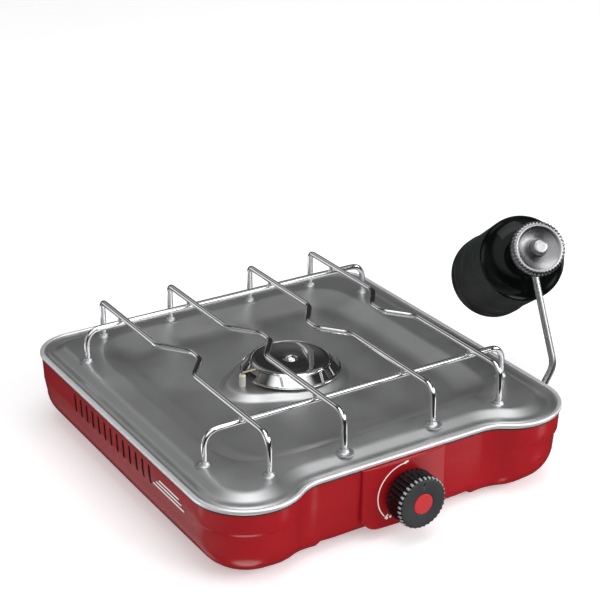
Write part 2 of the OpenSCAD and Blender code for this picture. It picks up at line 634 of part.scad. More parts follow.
module regulator_cover() color(chrome) tank_frame() difference() {
    lathe([[7.6, 8.8], [9, 8.6], [17.5, 6.2], [19.6, 5.6], [22, 5.8], [23.5, 7.6], [23.5, 12],
           [22.6, 13.2], [20.8, 13.2], [20.8, 9], [9, 11.2], [7.6, 11.2]]);
    for (a = [0:9:351]) rotate([0, 0, a]) translate([21.8, -0.7, 5]) cube([3, 1.4, 1.6]);
}
module regulator_boss() color([0.82, 0.82, 0.83]) tank_frame()
    lathe([[0, 0], [5.6, 0], [6.3, 0.7], [6.3, 9], [7.5, 9.2], [7.5, 12], [0, 12]]);
module diaphragm() color([0.10, 0.10, 0.10]) tank_frame()
    translate([0, 0, 12.2]) cylinder(r = 20.6, h = 0.9, $fn = 64);
module regulator_spring() color(zinc) tank_frame()
    translate([0, 0, 13.7]) coil(6, 0.7, 9.6, spring_turns);
module regulator_housing() color(alloy) difference() {
    tank_frame() difference() {
        lathe([[0, 13.3], [22, 13.3], [22, 14.8], [17.5, 16.5], [17.5, 27], [14, 29], [0, 29]]);
        translate([0, 0, 13.2]) cylinder(r = 9, h = 10.4, $fn = 48);
        translate([0, 0, 20]) cylinder(r = 1.6, h = 12, $fn = 24);
    }
    // Way for the pipe's end.
    translate(pipe_end) rotate(a = acos(pipe_dir.z), v = cross([0, 0, 1], pipe_dir))
        translate([0, 0, -30]) cylinder(r = pipe_d / 2 + 0.02, h = 30.1, $fn = 32);
}
module thread_collar() color(brass) tank_frame() ring(14, 10.08, 8, 29.1);
module probe_pin() color(brass) tank_frame() difference() {
    translate([0, 0, 29.1]) cylinder(r = 2, h = 7, $fn = 32);
    translate([0, 0, 28]) cylinder(r = 0.8, h = 10, $fn = 24);
}
module collar_seal() color(black_rubber) tank_frame()
    translate([0, 0, 29.9]) rotate_extrude($fn = 48) translate([5, 0]) circle(r = 0.75, $fn = 24);

// ---------- cylinder ----------

dome_from = 38;        // top of the dome along the tank's axis
dome_to = 54;          // where the straight side starts
tank_end = 147;        // where the foot starts to curve under
function dome_pt(a, t) =
    [14 + (tank_r - 14 - t) * sin(a), dome_to - (dome_to - dome_from - t) * cos(a)];
module gas_cylinder() color([0.05, 0.075, 0.07]) tank_frame() difference() {
    lathe(concat(
    [[9, 31], [10, 31], [10, dome_from]],
    [for (a = [0:10:90]) dome_pt(a, 0)],
    [[tank_r, tank_end - 9], [tank_r - 3, tank_end - 4], [0, tank_end - 1.5], [0, tank_end - 2.7],
     [tank_r - 3.6, tank_end - 5], [tank_r - 1.1, tank_end - 9]],
    [for (a = [90:-10:10]) dome_pt(a, 1.1)], [[9, dome_from + 1.1]]));
    translate([18, 0, 30]) cylinder(r = 2.62, h = 14, $fn = 32);
}
module cylinder_valve() color(brass) tank_frame() difference() {
    translate([0, 0, 31.5]) cylinder(r = 9, h = 14, $fn = 48);
    translate([0, 0, 31]) cylinder(r = 2.4, h = 6, $fn = 32);
    translate([0, 0, 36]) cylinder(r = 1.2, h = 12, $fn = 24);
}
module relief_valve() color(brass) tank_frame()
    translate([18, 0, 34.6]) cylinder(r = 2.6, h = 7, $fn = 32);
module cylinder_foot() color([0.08, 0.10, 0.095]) tank_frame()
    lathe([[tank_r + 0.1, tank_end - 12], [tank_r + 1.2, tank_end - 11], [tank_r + 1.2, tank_end + 0.6],
           [tank_r + 0.4, tank_end + 2], [tank_r - 3, tank_end + 2], [tank_r - 3, tank_end - 3.4],
           [tank_r + 0.1, tank_end - 7]]);

casing();
base_plate();
rubber_feet();
base_screws();
control_panel();
dial_marks();
side_stripes();
drip_pan();
burner_bowl();
port_ring();
burner_skirt();
burner_cap();
burner_screw();
venturi_tube();
gas_jet();
valve_body();
valve_nut();
valve_bracket();
bracket_screws();
inlet_pipe();
inlet_socket();
socket_nut();
piezo_igniter();
igniter_lead();
electrode_insulator();
electrode_tip();
electrode_clip();
pot_wire_1();
pot_wire_2();
pot_wire_3();
pot_wire_4();
cross_wire_front();
cross_wire_rear();
valve_plug();
valve_stem();
control_knob();
knob_face();
knob_centre_cap();
stem_spring();
regulator_plug();
plug_ring();
regulator_pipe();
regulator_cover();
regulator_boss();
regulator_housing();
diaphragm();
regulator_spring();
thread_collar();
probe_pin();
collar_seal();
gas_cylinder();
cylinder_valve();
relief_valve();
cylinder_foot();
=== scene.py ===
# Looks of the camp stove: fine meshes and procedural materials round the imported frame.
# Shapes are worked out in millimetres, in the frame's own axes, and made into meshes in metres.
import json
import math

import bpy
from mathutils import Matrix, Vector


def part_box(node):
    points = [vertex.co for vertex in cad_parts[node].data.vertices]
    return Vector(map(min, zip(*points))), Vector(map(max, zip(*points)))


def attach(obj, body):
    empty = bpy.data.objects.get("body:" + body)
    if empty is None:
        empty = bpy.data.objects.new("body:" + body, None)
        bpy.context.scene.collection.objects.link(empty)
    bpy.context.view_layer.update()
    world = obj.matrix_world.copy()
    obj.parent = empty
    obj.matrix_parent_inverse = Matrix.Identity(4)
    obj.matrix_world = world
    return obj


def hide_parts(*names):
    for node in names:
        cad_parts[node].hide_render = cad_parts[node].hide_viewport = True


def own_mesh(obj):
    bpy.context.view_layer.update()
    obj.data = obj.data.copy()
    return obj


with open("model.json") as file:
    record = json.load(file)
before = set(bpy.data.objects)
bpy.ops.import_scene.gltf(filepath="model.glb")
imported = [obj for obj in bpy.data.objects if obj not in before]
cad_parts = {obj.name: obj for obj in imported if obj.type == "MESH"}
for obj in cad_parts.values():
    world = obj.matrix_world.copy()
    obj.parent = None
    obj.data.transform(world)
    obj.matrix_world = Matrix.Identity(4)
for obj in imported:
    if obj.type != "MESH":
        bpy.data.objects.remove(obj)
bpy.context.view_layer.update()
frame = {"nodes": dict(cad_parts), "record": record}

MM = 0.001
FORWARD = (0, -1, 0)
RIGHT = (1, 0, 0)


# ---------- camera, floor and light ----------

CAMERA_PLACE = (-0.6005, -0.9796, 0.6417)
CAMERA_AIM = Vector((0.4824, 0.7770, -0.4045))
FOCAL_MM, SENSOR_MM = 91.49, 36


def link(obj):
    bpy.context.scene.collection.objects.link(obj)
    return obj


def make_camera():
    data = bpy.data.cameras.new("camera")
    data.lens = FOCAL_MM
    data.sensor_width = SENSOR_MM
    cam = link(bpy.data.objects.new("camera", data))
    cam.location = CAMERA_PLACE
    cam.rotation_euler = CAMERA_AIM.to_track_quat("-Z", "Y").to_euler()
    bpy.context.scene.camera = cam


FLOOR_HALF = 14.0       # metres
FLOOR_GLOW = 0.36


def make_floor():
    """Large pale floor. Reflections look past it into the studio's patches of light."""
    half = FLOOR_HALF
    mesh = bpy.data.meshes.new("floor")
    mesh.from_pydata([(-half, -half, 0), (half, -half, 0), (half, half, 0), (-half, half, 0)],
                     [], [(0, 1, 2, 3)])
    floor = link(bpy.data.objects.new("floor", mesh))
    floor.visible_glossy = False
    paper = finish("studio_floor", (0.90, 0.90, 0.91), 0.9, mottle=0.01, mottle_mm=300,
                   rough_vary=0.06, grain_um=20, grain_mm=4, specular=0.0)
    lift = paper.node_tree.nodes["Principled BSDF"]
    lift.inputs["Emission Color"].default_value = (1, 1, 1, 1)
    lift.inputs["Emission Strength"].default_value = FLOOR_GLOW
    mesh.materials.append(paper)


# Soft patches of studio light, added to the base: direction, cosine where the patch starts,
# cosine where it is full, strength.
SKY_BASE = 0.035
SKY_PATCHES = [
    ((-0.30, -0.50, 0.81), 0.70, 0.92, 1.50),       # large overhead box, towards the front left
    ((0.25, -0.10, 0.96), 0.84, 0.97, 0.55),        # fill from above
    ((0.58, 0.81, 0.05), 0.95, 0.995, 0.30),        # low glow behind on the right
    ((0.20, 0.62, 0.74), 0.90, 0.98, 0.16),         # high glow behind
    ((-0.05, 0.78, 0.63), 0.955, 0.992, 0.60),      # strip high up behind
    ((-0.95, 0.30, -0.10), 0.55, 0.95, 0.36),       # low light from the left
    ((-0.24, 0.66, -0.71), 0.95, 0.995, 0.42),      # pale ground beyond the left side
    ((-0.74, 0.55, -0.38), 0.975, 0.99, 3.00),      # bright low strip behind on the left
    ((-0.07, -0.11, -0.99), 0.95, 0.985, 2.20),     # pale ground below
    ((-0.62, 0.78, 0.05), 0.93, 0.985, 0.90),       # low box behind on the left
    ((0.95, 0.05, -0.05), 0.94, 0.98, 0.90),        # narrow box on the right
    ((0.70, -0.59, -0.40), 0.965, 0.998, 1.30),     # low panel in front on the right
]


def vector_math(tree, operation, source, value=None):
    """Vector maths on a socket, with a fixed second vector where the operation needs one."""
    node = tree.nodes.new("ShaderNodeVectorMath")
    node.operation = operation
    tree.links.new(source, node.inputs[0])
    if value is not None:
        node.inputs[1].default_value = value
    return node


def map_range(tree, value, start, end, low, high, curve="LINEAR"):
    """Value spread from start..end on to low..high, and held at its ends."""
    node = tree.nodes.new("ShaderNodeMapRange")
    node.interpolation_type = curve
    tree.links.new(value, node.inputs["Value"])
    node.inputs["From Min"].default_value = start
    node.inputs["From Max"].default_value = end
    node.inputs["To Min"].default_value = low
    node.inputs["To Max"].default_value = high
    return node.outputs["Result"]


def make_sky():
    world = bpy.data.worlds.new("studio")
    bpy.context.scene.world = world
    world.use_nodes = True
    tree = world.node_tree
    nodes, links = tree.nodes, tree.links
    nodes.clear()
    coord = nodes.new("ShaderNodeTexCoord")
    total = None
    for direction, start, full, strength in SKY_PATCHES:
        dot = vector_math(tree, "DOT_PRODUCT", coord.outputs["Generated"],
                          Vector(direction).normalized())
        glow = map_range(tree, dot.outputs["Value"], start, full, 0, strength, "SMOOTHSTEP")
        add = nodes.new("ShaderNodeMath")
        add.operation = "ADD"
        links.new(glow, add.inputs[0])
        if total is None:
            add.inputs[1].default_value = SKY_BASE
        else:
            links.new(total, add.inputs[1])
        total = add.outputs[0]
    studio = nodes.new("ShaderNodeBackground")
    links.new(total, studio.inputs["Strength"])
    plain = nodes.new("ShaderNodeBackground")
    plain.inputs["Color"].default_value = (1, 1, 1, 1)
    seen = nodes.new("ShaderNodeLightPath")
    mix = nodes.new("ShaderNodeMixShader")
    out = nodes.new("ShaderNodeOutputWorld")
    links.new(seen.outputs["Is Camera Ray"], mix.inputs[0])
    links.new(studio.outputs[0], mix.inputs[1])
    links.new(plain.outputs[0], mix.inputs[2])
    links.new(mix.outputs[0], out.inputs["Surface"])


# Area lights: name, place, size, power in watts.
LIGHTS = [
    ("key", (0.9, -1.9, 1.15), 1.2, 19),
    ("top", (0.1, 0.0, 2.4), 1.6, 15),
    ("side", (2.0, -1.1, 0.9), 0.7, 14),
]


def make_lights():
    for name, place, size, power in LIGHTS:
        data = bpy.data.lights.new(name, "AREA")
        data.size = size
        data.energy = power
        lamp = link(bpy.data.objects.new(name, data))
        lamp.location = place
        lamp.rotation_euler = (-Vector(place)).to_track_quat("-Z", "Y").to_euler()


# ---------- materials ----------

DUST_COLOUR = (0.62, 0.60, 0.57)
EDGE_WEAR_AND_SHEEN_SPREAD = 0.07      # pointiness over which the lighter edge colour comes in: wear, and on the knob's grip a painted highlight


def finish(name, base, rough, metallic=0.0, mottle=0.12, mottle_mm=5, rough_vary=0.08,
           grain_um=8, grain_mm=0.4, specular=0.5, coat=0.0, coat_rough=0.04,
           turned=None, turned_um=4, turned_mm=0.5, edge_wear_and_sheen=None, edge_wear_and_sheen_at=0.56, dust=0.0):
    """Procedural material: mottled colour, uneven gloss, fine grain, and optional lathe
    rings round an axis (turned = origin and direction in metres), lighter sharp edges (worn
    edges, and a painted highlight on the knob's grip) and dust."""
    mat = bpy.data.materials.new(name)
    mat.use_nodes = True
    tree = mat.node_tree
    nodes, links = tree.nodes, tree.links
    shader = nodes["Principled BSDF"]
    shader.inputs["Metallic"].default_value = metallic
    shader.inputs["Specular IOR Level"].default_value = specular
    shader.inputs["Coat Weight"].default_value = coat
    shader.inputs["Coat Roughness"].default_value = coat_rough

    coord = nodes.new("ShaderNodeTexCoord")

    def noise(size_mm, detail, source=None, flat=False):
        tex = nodes.new("ShaderNodeTexNoise")
        tex.inputs["Scale"].default_value = 1 / (size_mm * MM)
        tex.inputs["Detail"].default_value = detail
        if flat:
            tex.noise_dimensions = "1D"
            links.new(source, tex.inputs["W"])
        else:
            links.new(source or coord.outputs["Object"], tex.inputs["Vector"])
        return tex.outputs["Fac"]

    def spread(value, low, high, start=0.25, end=0.75):
        return map_range(tree, value, start, end, low, high)

    def blend(factor, first, second):
        node = nodes.new("ShaderNodeMix")
        node.data_type = "RGBA"
        links.new(factor, node.inputs["Factor"])
        for socket, value in ((node.inputs[6], first), (node.inputs[7], second)):
            if isinstance(value, bpy.types.NodeSocket):
                links.new(value, socket)
            else:
                socket.default_value = (*value, 1)
        return node.outputs[2]

    patches = noise(mottle_mm, 4)
    darker = tuple(c * (1 - mottle) for c in base)
    lighter = tuple(min(1, c * (1 + mottle)) for c in base)
    colour = blend(spread(patches, 0, 1), darker, lighter)
    if dust:
        specks = spread(noise(grain_mm * 3, 6), 0, dust, 0.55, 0.8)
        colour = blend(specks, colour, DUST_COLOUR)
    # Lighter colour on sharp edges: wear, and for the knob's grip a painted highlight.
    if edge_wear_and_sheen:
        geometry = nodes.new("ShaderNodeNewGeometry")
        edges = spread(geometry.outputs["Pointiness"], 0, 0.8, edge_wear_and_sheen_at, edge_wear_and_sheen_at + EDGE_WEAR_AND_SHEEN_SPREAD)
        colour = blend(edges, colour, edge_wear_and_sheen)
    links.new(colour, shader.inputs["Base Color"])

    smudges = noise(mottle_mm * 0.6, 6)
    links.new(spread(smudges, max(0.02, rough - rough_vary), rough + rough_vary),
              shader.inputs["Roughness"])

    def bump(height, distance_um, under=None):
        node = nodes.new("ShaderNodeBump")
        node.inputs["Strength"].default_value = 1
        node.inputs["Distance"].default_value = distance_um * 1e-6
        links.new(height, node.inputs["Height"])
        if under:
            links.new(under, node.inputs["Normal"])
        return node.outputs["Normal"]

    normal = bump(noise(grain_mm, 3), grain_um)
    if turned:
        origin, axis = turned
        offset = vector_math(tree, "SUBTRACT", coord.outputs["Object"], origin)
        cross = vector_math(tree, "CROSS_PRODUCT", offset.outputs[0], Vector(axis).normalized())
        radius = vector_math(tree, "LENGTH", cross.outputs[0])
        rings = noise(turned_mm, 3, radius.outputs["Value"], flat=True)
        normal = bump(rings, turned_um, normal)
    links.new(normal, shader.inputs["Normal"])
    return mat


# ---------- mesh making ----------

def piece(name, part, material, body, replaced=(), sharp=38, place=None):
    """New piece from a part, which is a pair of points in millimetres and faces. It is
    smooth, rides on a body, and stands for the CAD nodes in replaced."""
    points, faces = part
    mesh = bpy.data.meshes.new(name)
    mesh.from_pydata([Vector(p) * MM for p in points], [], faces)
    mesh.validate()
    if place:
        mesh.transform(place)
    mesh.materials.append(material)
    mesh.shade_smooth()
    mesh.set_sharp_from_angle(angle=math.radians(sharp))
    obj = link(bpy.data.objects.new(name, mesh))
    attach(obj, body)
    if replaced:
        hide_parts(*replaced)
    return obj


def flipped(part):
    """The part with its faces turned over."""
    points, faces = part
    return points, [face[::-1] for face in faces]


def loft(rings, closed=True):
    """Quads between rings of equal length. closed joins the last ring to the first."""
    n, k = len(rings[0]), len(rings)
    points = [p for ring in rings for p in ring]
    faces = []
    for j in range(k if closed else k - 1):
        for i in range(n):
            a, b = j * n + i, j * n + (i + 1) % n
            c, d = ((j + 1) % k) * n + (i + 1) % n, ((j + 1) % k) * n + i
            faces.append((a, b, c, d))
    return points, faces


def joined(*parts):
    """One points and faces pair from several."""
    points, faces = [], []
    for part_points, part_faces in parts:
        start = len(points)
        points += list(part_points)
        faces += [tuple(i + start for i in face) for face in part_faces]
    return points, faces


def lathe(profile, segments=128, teeth=0):
    """Turned shape round Z from (radius, height, tooth depth) points, from the inside of
    one end round to the inside of the other. A radius of 0 closes an end to a point."""
    rows = [(p + (0,))[:3] for p in profile]
    points, faces, starts = [], [], []
    for radius, height, depth in rows:
        starts.append(len(points))
        if radius == 0:
            points.append((0, 0, height))
            continue
        for i in range(segments):
            a = 2 * math.pi * i / segments
            r = radius - depth * (0.5 + 0.5 * math.cos(a * teeth))
            points.append((r * math.cos(a), r * math.sin(a), height))
    count = len(rows)
    ends_open = rows[0][0] > 0 and rows[-1][0] > 0
    for j in range(count if ends_open else count - 1):
        k = (j + 1) % count
        for i in range(segments):
            n = (i + 1) % segments
            a, b = starts[j] + i, starts[j] + n
            c, d = starts[k] + n, starts[k] + i
            if rows[j][0] == 0:
                faces.append((starts[j], c, d))
            elif rows[k][0] == 0:
                faces.append((a, b, starts[k]))
            else:
                faces.append((a, b, c, d))
    return points, faces


def rounded(profile, cut, steps=4):
    """The profile with each corner rounded over the length cut, which may be a list."""
    cuts = cut if isinstance(cut, (list, tuple)) else [cut] * (len(profile) - 2)
    made = [tuple(profile[0])]
    for i in range(1, len(profile) - 1):
        before, here, after = (Vector(profile[i + k]) for k in (-1, 0, 1))
        reach_in = min(cuts[i - 1], (here - before).length / 2)
        reach_out = min(cuts[i - 1], (after - here).length / 2)
        if min(reach_in, reach_out) < 1e-4:
            made.append(tuple(here))
            continue
        a = here + (before - here).normalized() * reach_in
        b = here + (after - here).normalized() * reach_out
        for s in range(steps + 1):
            t = s / steps
            made.append(tuple(a.lerp(here, t).lerp(here.lerp(b, t), t)))
    made.append(tuple(profile[-1]))
    return made


def tube(path, radius, sides=20, bore=None):
    """Wire or pipe along a path. Its sections turn with the path without twisting."""
    path = [Vector(p) for p in path]
    tangents = []
    for i in range(len(path)):
        ahead = (path[min(i + 1, len(path) - 1)] - path[i]).normalized()
        behind = (path[i] - path[max(i - 1, 0)]).normalized()
        tangents.append((ahead + behind).normalized())
    side = tangents[0].orthogonal().normalized()
    frames = []
    for t in tangents:
        side = (side - t * side.dot(t)).normalized()
        frames.append((side, t.cross(side)))

    def ring(i, r):
        u, v = frames[i]
        return [tuple(path[i] + (u * math.cos(2 * math.pi * k / sides)
                                 + v * math.sin(2 * math.pi * k / sides)) * r)
                for k in range(sides)]

    last = len(path) - 1
    outer = [ring(i, radius) for i in range(len(path))]
    if bore:
        inner = [ring(i, bore) for i in range(last, -1, -1)]
        return loft(outer + inner)
    points, faces = loft(outer, closed=False)
    faces.append(tuple(range(sides - 1, -1, -1)))
    faces.append(tuple(range(len(points) - sides, len(points))))
    return points, faces


def prism(outline, low, high):
    """Straight prism over a flat outline (x, y), from height low to high."""
    n = len(outline)
    points = [(x, y, low) for x, y in outline] + [(x, y, high) for x, y in outline]
    faces = [tuple(range(n - 1, -1, -1)), tuple(range(n, 2 * n))]
    faces += [(i, (i + 1) % n, n + (i + 1) % n, n + i) for i in range(n)]
    return points, faces


def block(xs, ys, zs):
    """Box from pairs of low and high places."""
    return prism([(xs[0], ys[0]), (xs[1], ys[0]), (xs[1], ys[1]), (xs[0], ys[1])], *zs)


def circle(radius, sides=64):
    return [(radius * math.cos(2 * math.pi * i / sides),
             radius * math.sin(2 * math.pi * i / sides)) for i in range(sides)]


def moved(part, matrix):
    points, faces = part
    return [tuple(matrix @ Vector(p)) for p in points], faces


def bake(obj):
    """Applies the modifiers, so that the piece is a plain mesh."""
    bpy.context.view_layer.update()
    graph = bpy.context.evaluated_depsgraph_get()
    made = bpy.data.meshes.new_from_object(obj.evaluated_get(graph))
    obj.modifiers.clear()
    obj.data = made


def turn_to(axis):
    """Rotation that brings +Z to an axis."""
    return Vector(axis).to_track_quat("Z", "Y").to_matrix().to_4x4()


# Turns that lay a shape drawn in the XY plane on a side wall, as (y, z), or on the front,
# as (z, x).
TO_SIDE = Matrix(((0, 0, 1, 0), (1, 0, 0, 0), (0, 1, 0, 0), (0, 0, 0, 1)))
TO_FACE = Matrix(((0, 1, 0, 0), (0, 0, -1, 0), (1, 0, 0, 0), (0, 0, 0, 1)))


def cut_with(obj, parts, sharp=38, cut_slot=0):
    """Cuts closed solids out of a piece. cut_slot is the material slot of the new faces."""
    points, faces = joined(*parts)
    mesh = bpy.data.meshes.new("cutter")
    mesh.from_pydata([Vector(p) * MM for p in points], [], faces)
    for material in obj.data.materials:
        mesh.materials.append(material)
    for face in mesh.polygons:
        face.material_index = cut_slot
    cutter = link(bpy.data.objects.new("cutter", mesh))
    modifier = obj.modifiers.new("cut", "BOOLEAN")
    modifier.operation = "DIFFERENCE"
    modifier.solver = "EXACT"
    modifier.object = cutter
    bake(obj)
    bpy.data.objects.remove(cutter)
    bpy.data.meshes.remove(mesh)
    obj.data.shade_smooth()
    obj.data.set_sharp_from_angle(angle=math.radians(sharp))


# ---------- sizes from the frame, in millimetres ----------

def box_mm(node):
    low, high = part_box(node)
    return Vector(low) / MM, Vector(high) / MM


pan_low, pan_high = box_mm("drip_pan")
_, casing_high = box_mm("casing")
knob_low, knob_high = box_mm("control_knob")
face_low, face_high = box_mm("knob_face")
panel_low, panel_high = box_mm("control_panel")
wire_low, wire_high = box_mm("pot_wire_1")
cross_low, cross_high = box_mm("cross_wire_front")
skirt_low, skirt_high = box_mm("burner_skirt")
cap_low, cap_high = box_mm("burner_cap")
post_low, post_high = box_mm("electrode_insulator")
_, plug_high = box_mm("regulator_plug")

RIM_HALF = pan_high.x
RIM_BACK = pan_high.y
LOBE_OUT = 15.0             # how far the two front lobes stand out
RIM_FRONT = -pan_low.y - LOBE_OUT
RIM_TOP = casing_high.z + 1.9
LOBE_R, BACK_R, DIP_R = 46.0, 36.0, 34.0    # plan radii: lobes, back corners, dips
CORNER_MIN = 3.0            # least plan radius of an inset corner
SHELF_Z, WELL_Z, BOSS_Z = 71.0, 64.0, 69.0
COLLAR_Z = pan_high.z
PAN_T = 0.9
WIRE_R = 2.5
GRATE_Z = wire_high.z - WIRE_R
CROSS_Z = cross_high.z - WIRE_R
LEG_Y = wire_high.y - WIRE_R
LEG_X = cross_high.x - WIRE_R
LEG_FOOT = wire_low.z
OUTER_X, INNER_X = 107.0, 41.2
CROSS_Y = -(cross_low.y + WIRE_R)
BURNER = (cap_low.xy + cap_high.xy) / 2
SPARK = (post_low.xy + post_high.xy) / 2
KNOB_Z = (knob_low.z + knob_high.z) / 2
KNOB_R = (knob_high.x - knob_low.x) / 2
KNOB_HOLE_R = 8.2
PANEL_HALF = panel_high.x
PANEL_Y = panel_low.y
SOCKET = Vector((146.0, -112.0, 50.0))
SOCKET_HOLE_R = 7.4
PIPE_R, PIPE_WALL = 3.0, 1.0
PIPE_KNEE = Vector((190, -112, 71.5))
PIPE_END = Vector((191.2, -75.7, 149.8))

TANK_TIP = Vector((191.0, -84.9, 169.3))
TANK_HEADING, TANK_DIP = 21.3, 32.1     # degrees
TANK_R = 37.5
TANK_FRAME = (Matrix.Translation(TANK_TIP * MM)
              @ Matrix.Rotation(math.radians(-TANK_HEADING), 4, "Z")
              @ Matrix.Rotation(math.radians(-90 - TANK_DIP), 4, "X"))
TANK_AXIS = TANK_FRAME.to_3x3() @ Vector((0, 0, 1))


# ---------- plan outline of the rim ----------

class RimPoint:
    """A point of the rim's outline, with its share of a lobe from 0 to 1, and with middle 1 on
    the straight part of the front. A radius above 0 is an outward arc, below 0 an inward arc,
    and 0 a straight."""

    def __init__(self, centre, out, radius=0.0, corner=(0, 0), lobe=0.0, middle=0.0):
        self.centre, self.out, self.radius = Vector(centre), Vector(out), radius
        self.corner, self.lobe, self.middle = Vector(corner), lobe, middle

    def inset(self, m):
        if self.radius > 0:
            shift = max(0, m - self.radius + CORNER_MIN)
            return self.centre + self.corner * shift + self.out * max(self.radius - m, CORNER_MIN)
        if self.radius < 0:
            return self.centre - self.out * (m - self.radius)
        return self.centre - self.out * m

    def mirrored(self):
        def flip(v):
            return (-v.x, v.y)
        return RimPoint(flip(self.centre), flip(self.out), self.radius, flip(self.corner),
                        self.lobe, self.middle)


MIDDLE_STEPS, DIP_STEPS, LOBE_STEPS = 12, 12, 27
SIDE_STEPS, BACK_ARC_STEPS, BACK_STEPS = 20, 16, 12
LOBE_FADE = 8           # steps of the side over which the lobe's share falls to 0


def rim_outline():
    """Outline of the rim, counter-clockwise seen from above: the right half from the middle of
    the front round to the back, then its mirror image."""
    rise = LOBE_R - LOBE_OUT + DIP_R
    sway = math.atan2(math.sqrt((LOBE_R + DIP_R) ** 2 - rise ** 2), rise)
    lobe_c = Vector((RIM_HALF - LOBE_R, -RIM_FRONT - LOBE_OUT + LOBE_R))
    dip_c = Vector((lobe_c.x - (LOBE_R + DIP_R) * math.sin(sway), -RIM_FRONT - DIP_R))
    half = []
    for i in range(MIDDLE_STEPS):
        x = (i + 0.5) / MIDDLE_STEPS * (dip_c.x - 2)
        half.append(RimPoint((x, -RIM_FRONT), (0, -1), middle=1))
    for i in range(DIP_STEPS):
        t = i / DIP_STEPS
        a = sway * t
        half.append(RimPoint(dip_c, (-math.sin(a), -math.cos(a)), -DIP_R, lobe=0.25 + 0.75 * t))
    for i in range(LOBE_STEPS + 1):
        a = -math.pi / 2 - sway + (math.pi / 2 + sway) * i / LOBE_STEPS
        half.append(RimPoint(lobe_c, (math.cos(a), math.sin(a)), LOBE_R, (-1, 1), lobe=1))
    span = RIM_BACK - BACK_R - lobe_c.y
    for i in range(1, SIDE_STEPS):
        y = lobe_c.y + span * i / SIDE_STEPS
        half.append(RimPoint((RIM_HALF, y), (1, 0), lobe=max(0, 1 - i / LOBE_FADE)))
    for i in range(BACK_ARC_STEPS + 1):
        a = math.pi / 2 * i / BACK_ARC_STEPS
        half.append(RimPoint((RIM_HALF - BACK_R, RIM_BACK - BACK_R), (math.cos(a), math.sin(a)),
                             BACK_R, (-1, -1)))
    for i in range(BACK_STEPS):
        x = (RIM_HALF - BACK_R) * (1 - (i + 0.5) / BACK_STEPS)
        half.append(RimPoint((x, RIM_BACK), (0, 1)))
    return half + [p.mirrored() for p in reversed(half)]


RIM = rim_outline()


def level(levels_of):
    """Rings round the rim, one for each [inset, height] that levels_of(point) lists."""
    columns = [levels_of(p) for p in RIM]
    return [[(*p.inset(columns[i][k][0]), columns[i][k][1]) for i, p in enumerate(RIM)]
            for k in range(len(columns[0]))]


# ---------- casing ----------

EDGE_R, FRONT_EDGE_R = 30.0, 12.0           # lower edge of the wall
SOLE_Z, FRONT_SOLE_Z = 2.0, 5.5
CREASE_Z, CREASE = 45.5, 2.0                # height and depth of the lobes' crease
FRONT_BLEND, CREASE_BLEND = (58, 124), (80, 130)    # sideways places where each grows
DRAFT, LEDGE_Z, LEDGE, SHEET = 3.8, 6.5, 14.0, 1.5
HEM_TUCK = 1.3              # inset of the wall's top, under the hem
SHADOW_LINE_Z = RIM_TOP - 5.3      # lower end of the painted shadow line under the hem
SHADOW_LINE_ROWS = 2               # rows of faces painted dark as that shadow line
INNER_LEVELS = 17
VENTS = 13
VENT_FIRST_Y, VENT_SPAN = 75.0, 136.0
VENT_LOW, VENT_HIGH, VENT_HALF = 43.0, 56.7, 1.7


def smooth(value, low, high):
    """0 at low, 1 at high, with an even start and end."""
    t = min(1, max(0, (value - low) / (high - low)))
    return t * t * (3 - 2 * t)


def wall_levels(p):
    """Section of the casing's sheet: down the outside, under the ledge, and up the inside."""
    on_front = p.middle or p.radius < 0 or (p.lobe == 1 and p.out.y < 0)
    aside = abs(p.inset(0).x)
    share = smooth(aside, *FRONT_BLEND) if on_front else 1
    lower = FRONT_EDGE_R + (EDGE_R - FRONT_EDGE_R) * share
    sole = FRONT_SOLE_Z if p.middle else SOLE_Z
    c = CREASE * min(p.lobe, smooth(aside, *CREASE_BLEND))
    foot = DRAFT + lower
    arc = [math.radians(a) for a in range(9, 91, 9)]
    outside = [[HEM_TUCK + SHEET / 2, RIM_TOP - 1.9], [HEM_TUCK, RIM_TOP - 2.6],
               [HEM_TUCK + 0.05, SHADOW_LINE_Z], [1.7, CREASE_Z + 9], [2, CREASE_Z + 1.6],
               [2 + c * 0.2, CREASE_Z + 0.5], [2 + c * 0.8, CREASE_Z - 0.6],
               [2 + c, CREASE_Z - 1.8], [DRAFT + c / 2, sole + lower]]
    outside += [[foot - (lower - c / 2) * math.cos(a), sole + lower - lower * math.sin(a)]
                for a in arc]
    outside += [[foot + 2, sole], [foot + 6, LEDGE_Z], [foot + LEDGE, LEDGE_Z]]
    inside = [[foot + LEDGE, LEDGE_Z + SHEET], [foot + 5.4, LEDGE_Z + SHEET],
              [foot + 1.2, sole + SHEET]]
    inside += [[foot - (lower - c / 2 - SHEET) * math.cos(a),
                sole + lower - (lower - SHEET) * math.sin(a)] for a in reversed(arc)]
    inside += [[DRAFT + c / 2 + SHEET, sole + lower], [2 + c + SHEET, CREASE_Z - 2.5],
               [2 + SHEET, CREASE_Z + 0.3], [HEM_TUCK + SHEET, RIM_TOP - 2.6]]
    return outside + inside


def stadium(low, high, half, steps=8):
    """Upright slot outline, given as (height, sideways) pairs."""
    arc = [math.pi * i / steps for i in range(steps + 1)]
    top = [(high + half * math.sin(a), half * math.cos(a)) for a in arc]
    bottom = [(low - half * math.sin(a), -half * math.cos(a)) for a in arc]
    return top + bottom


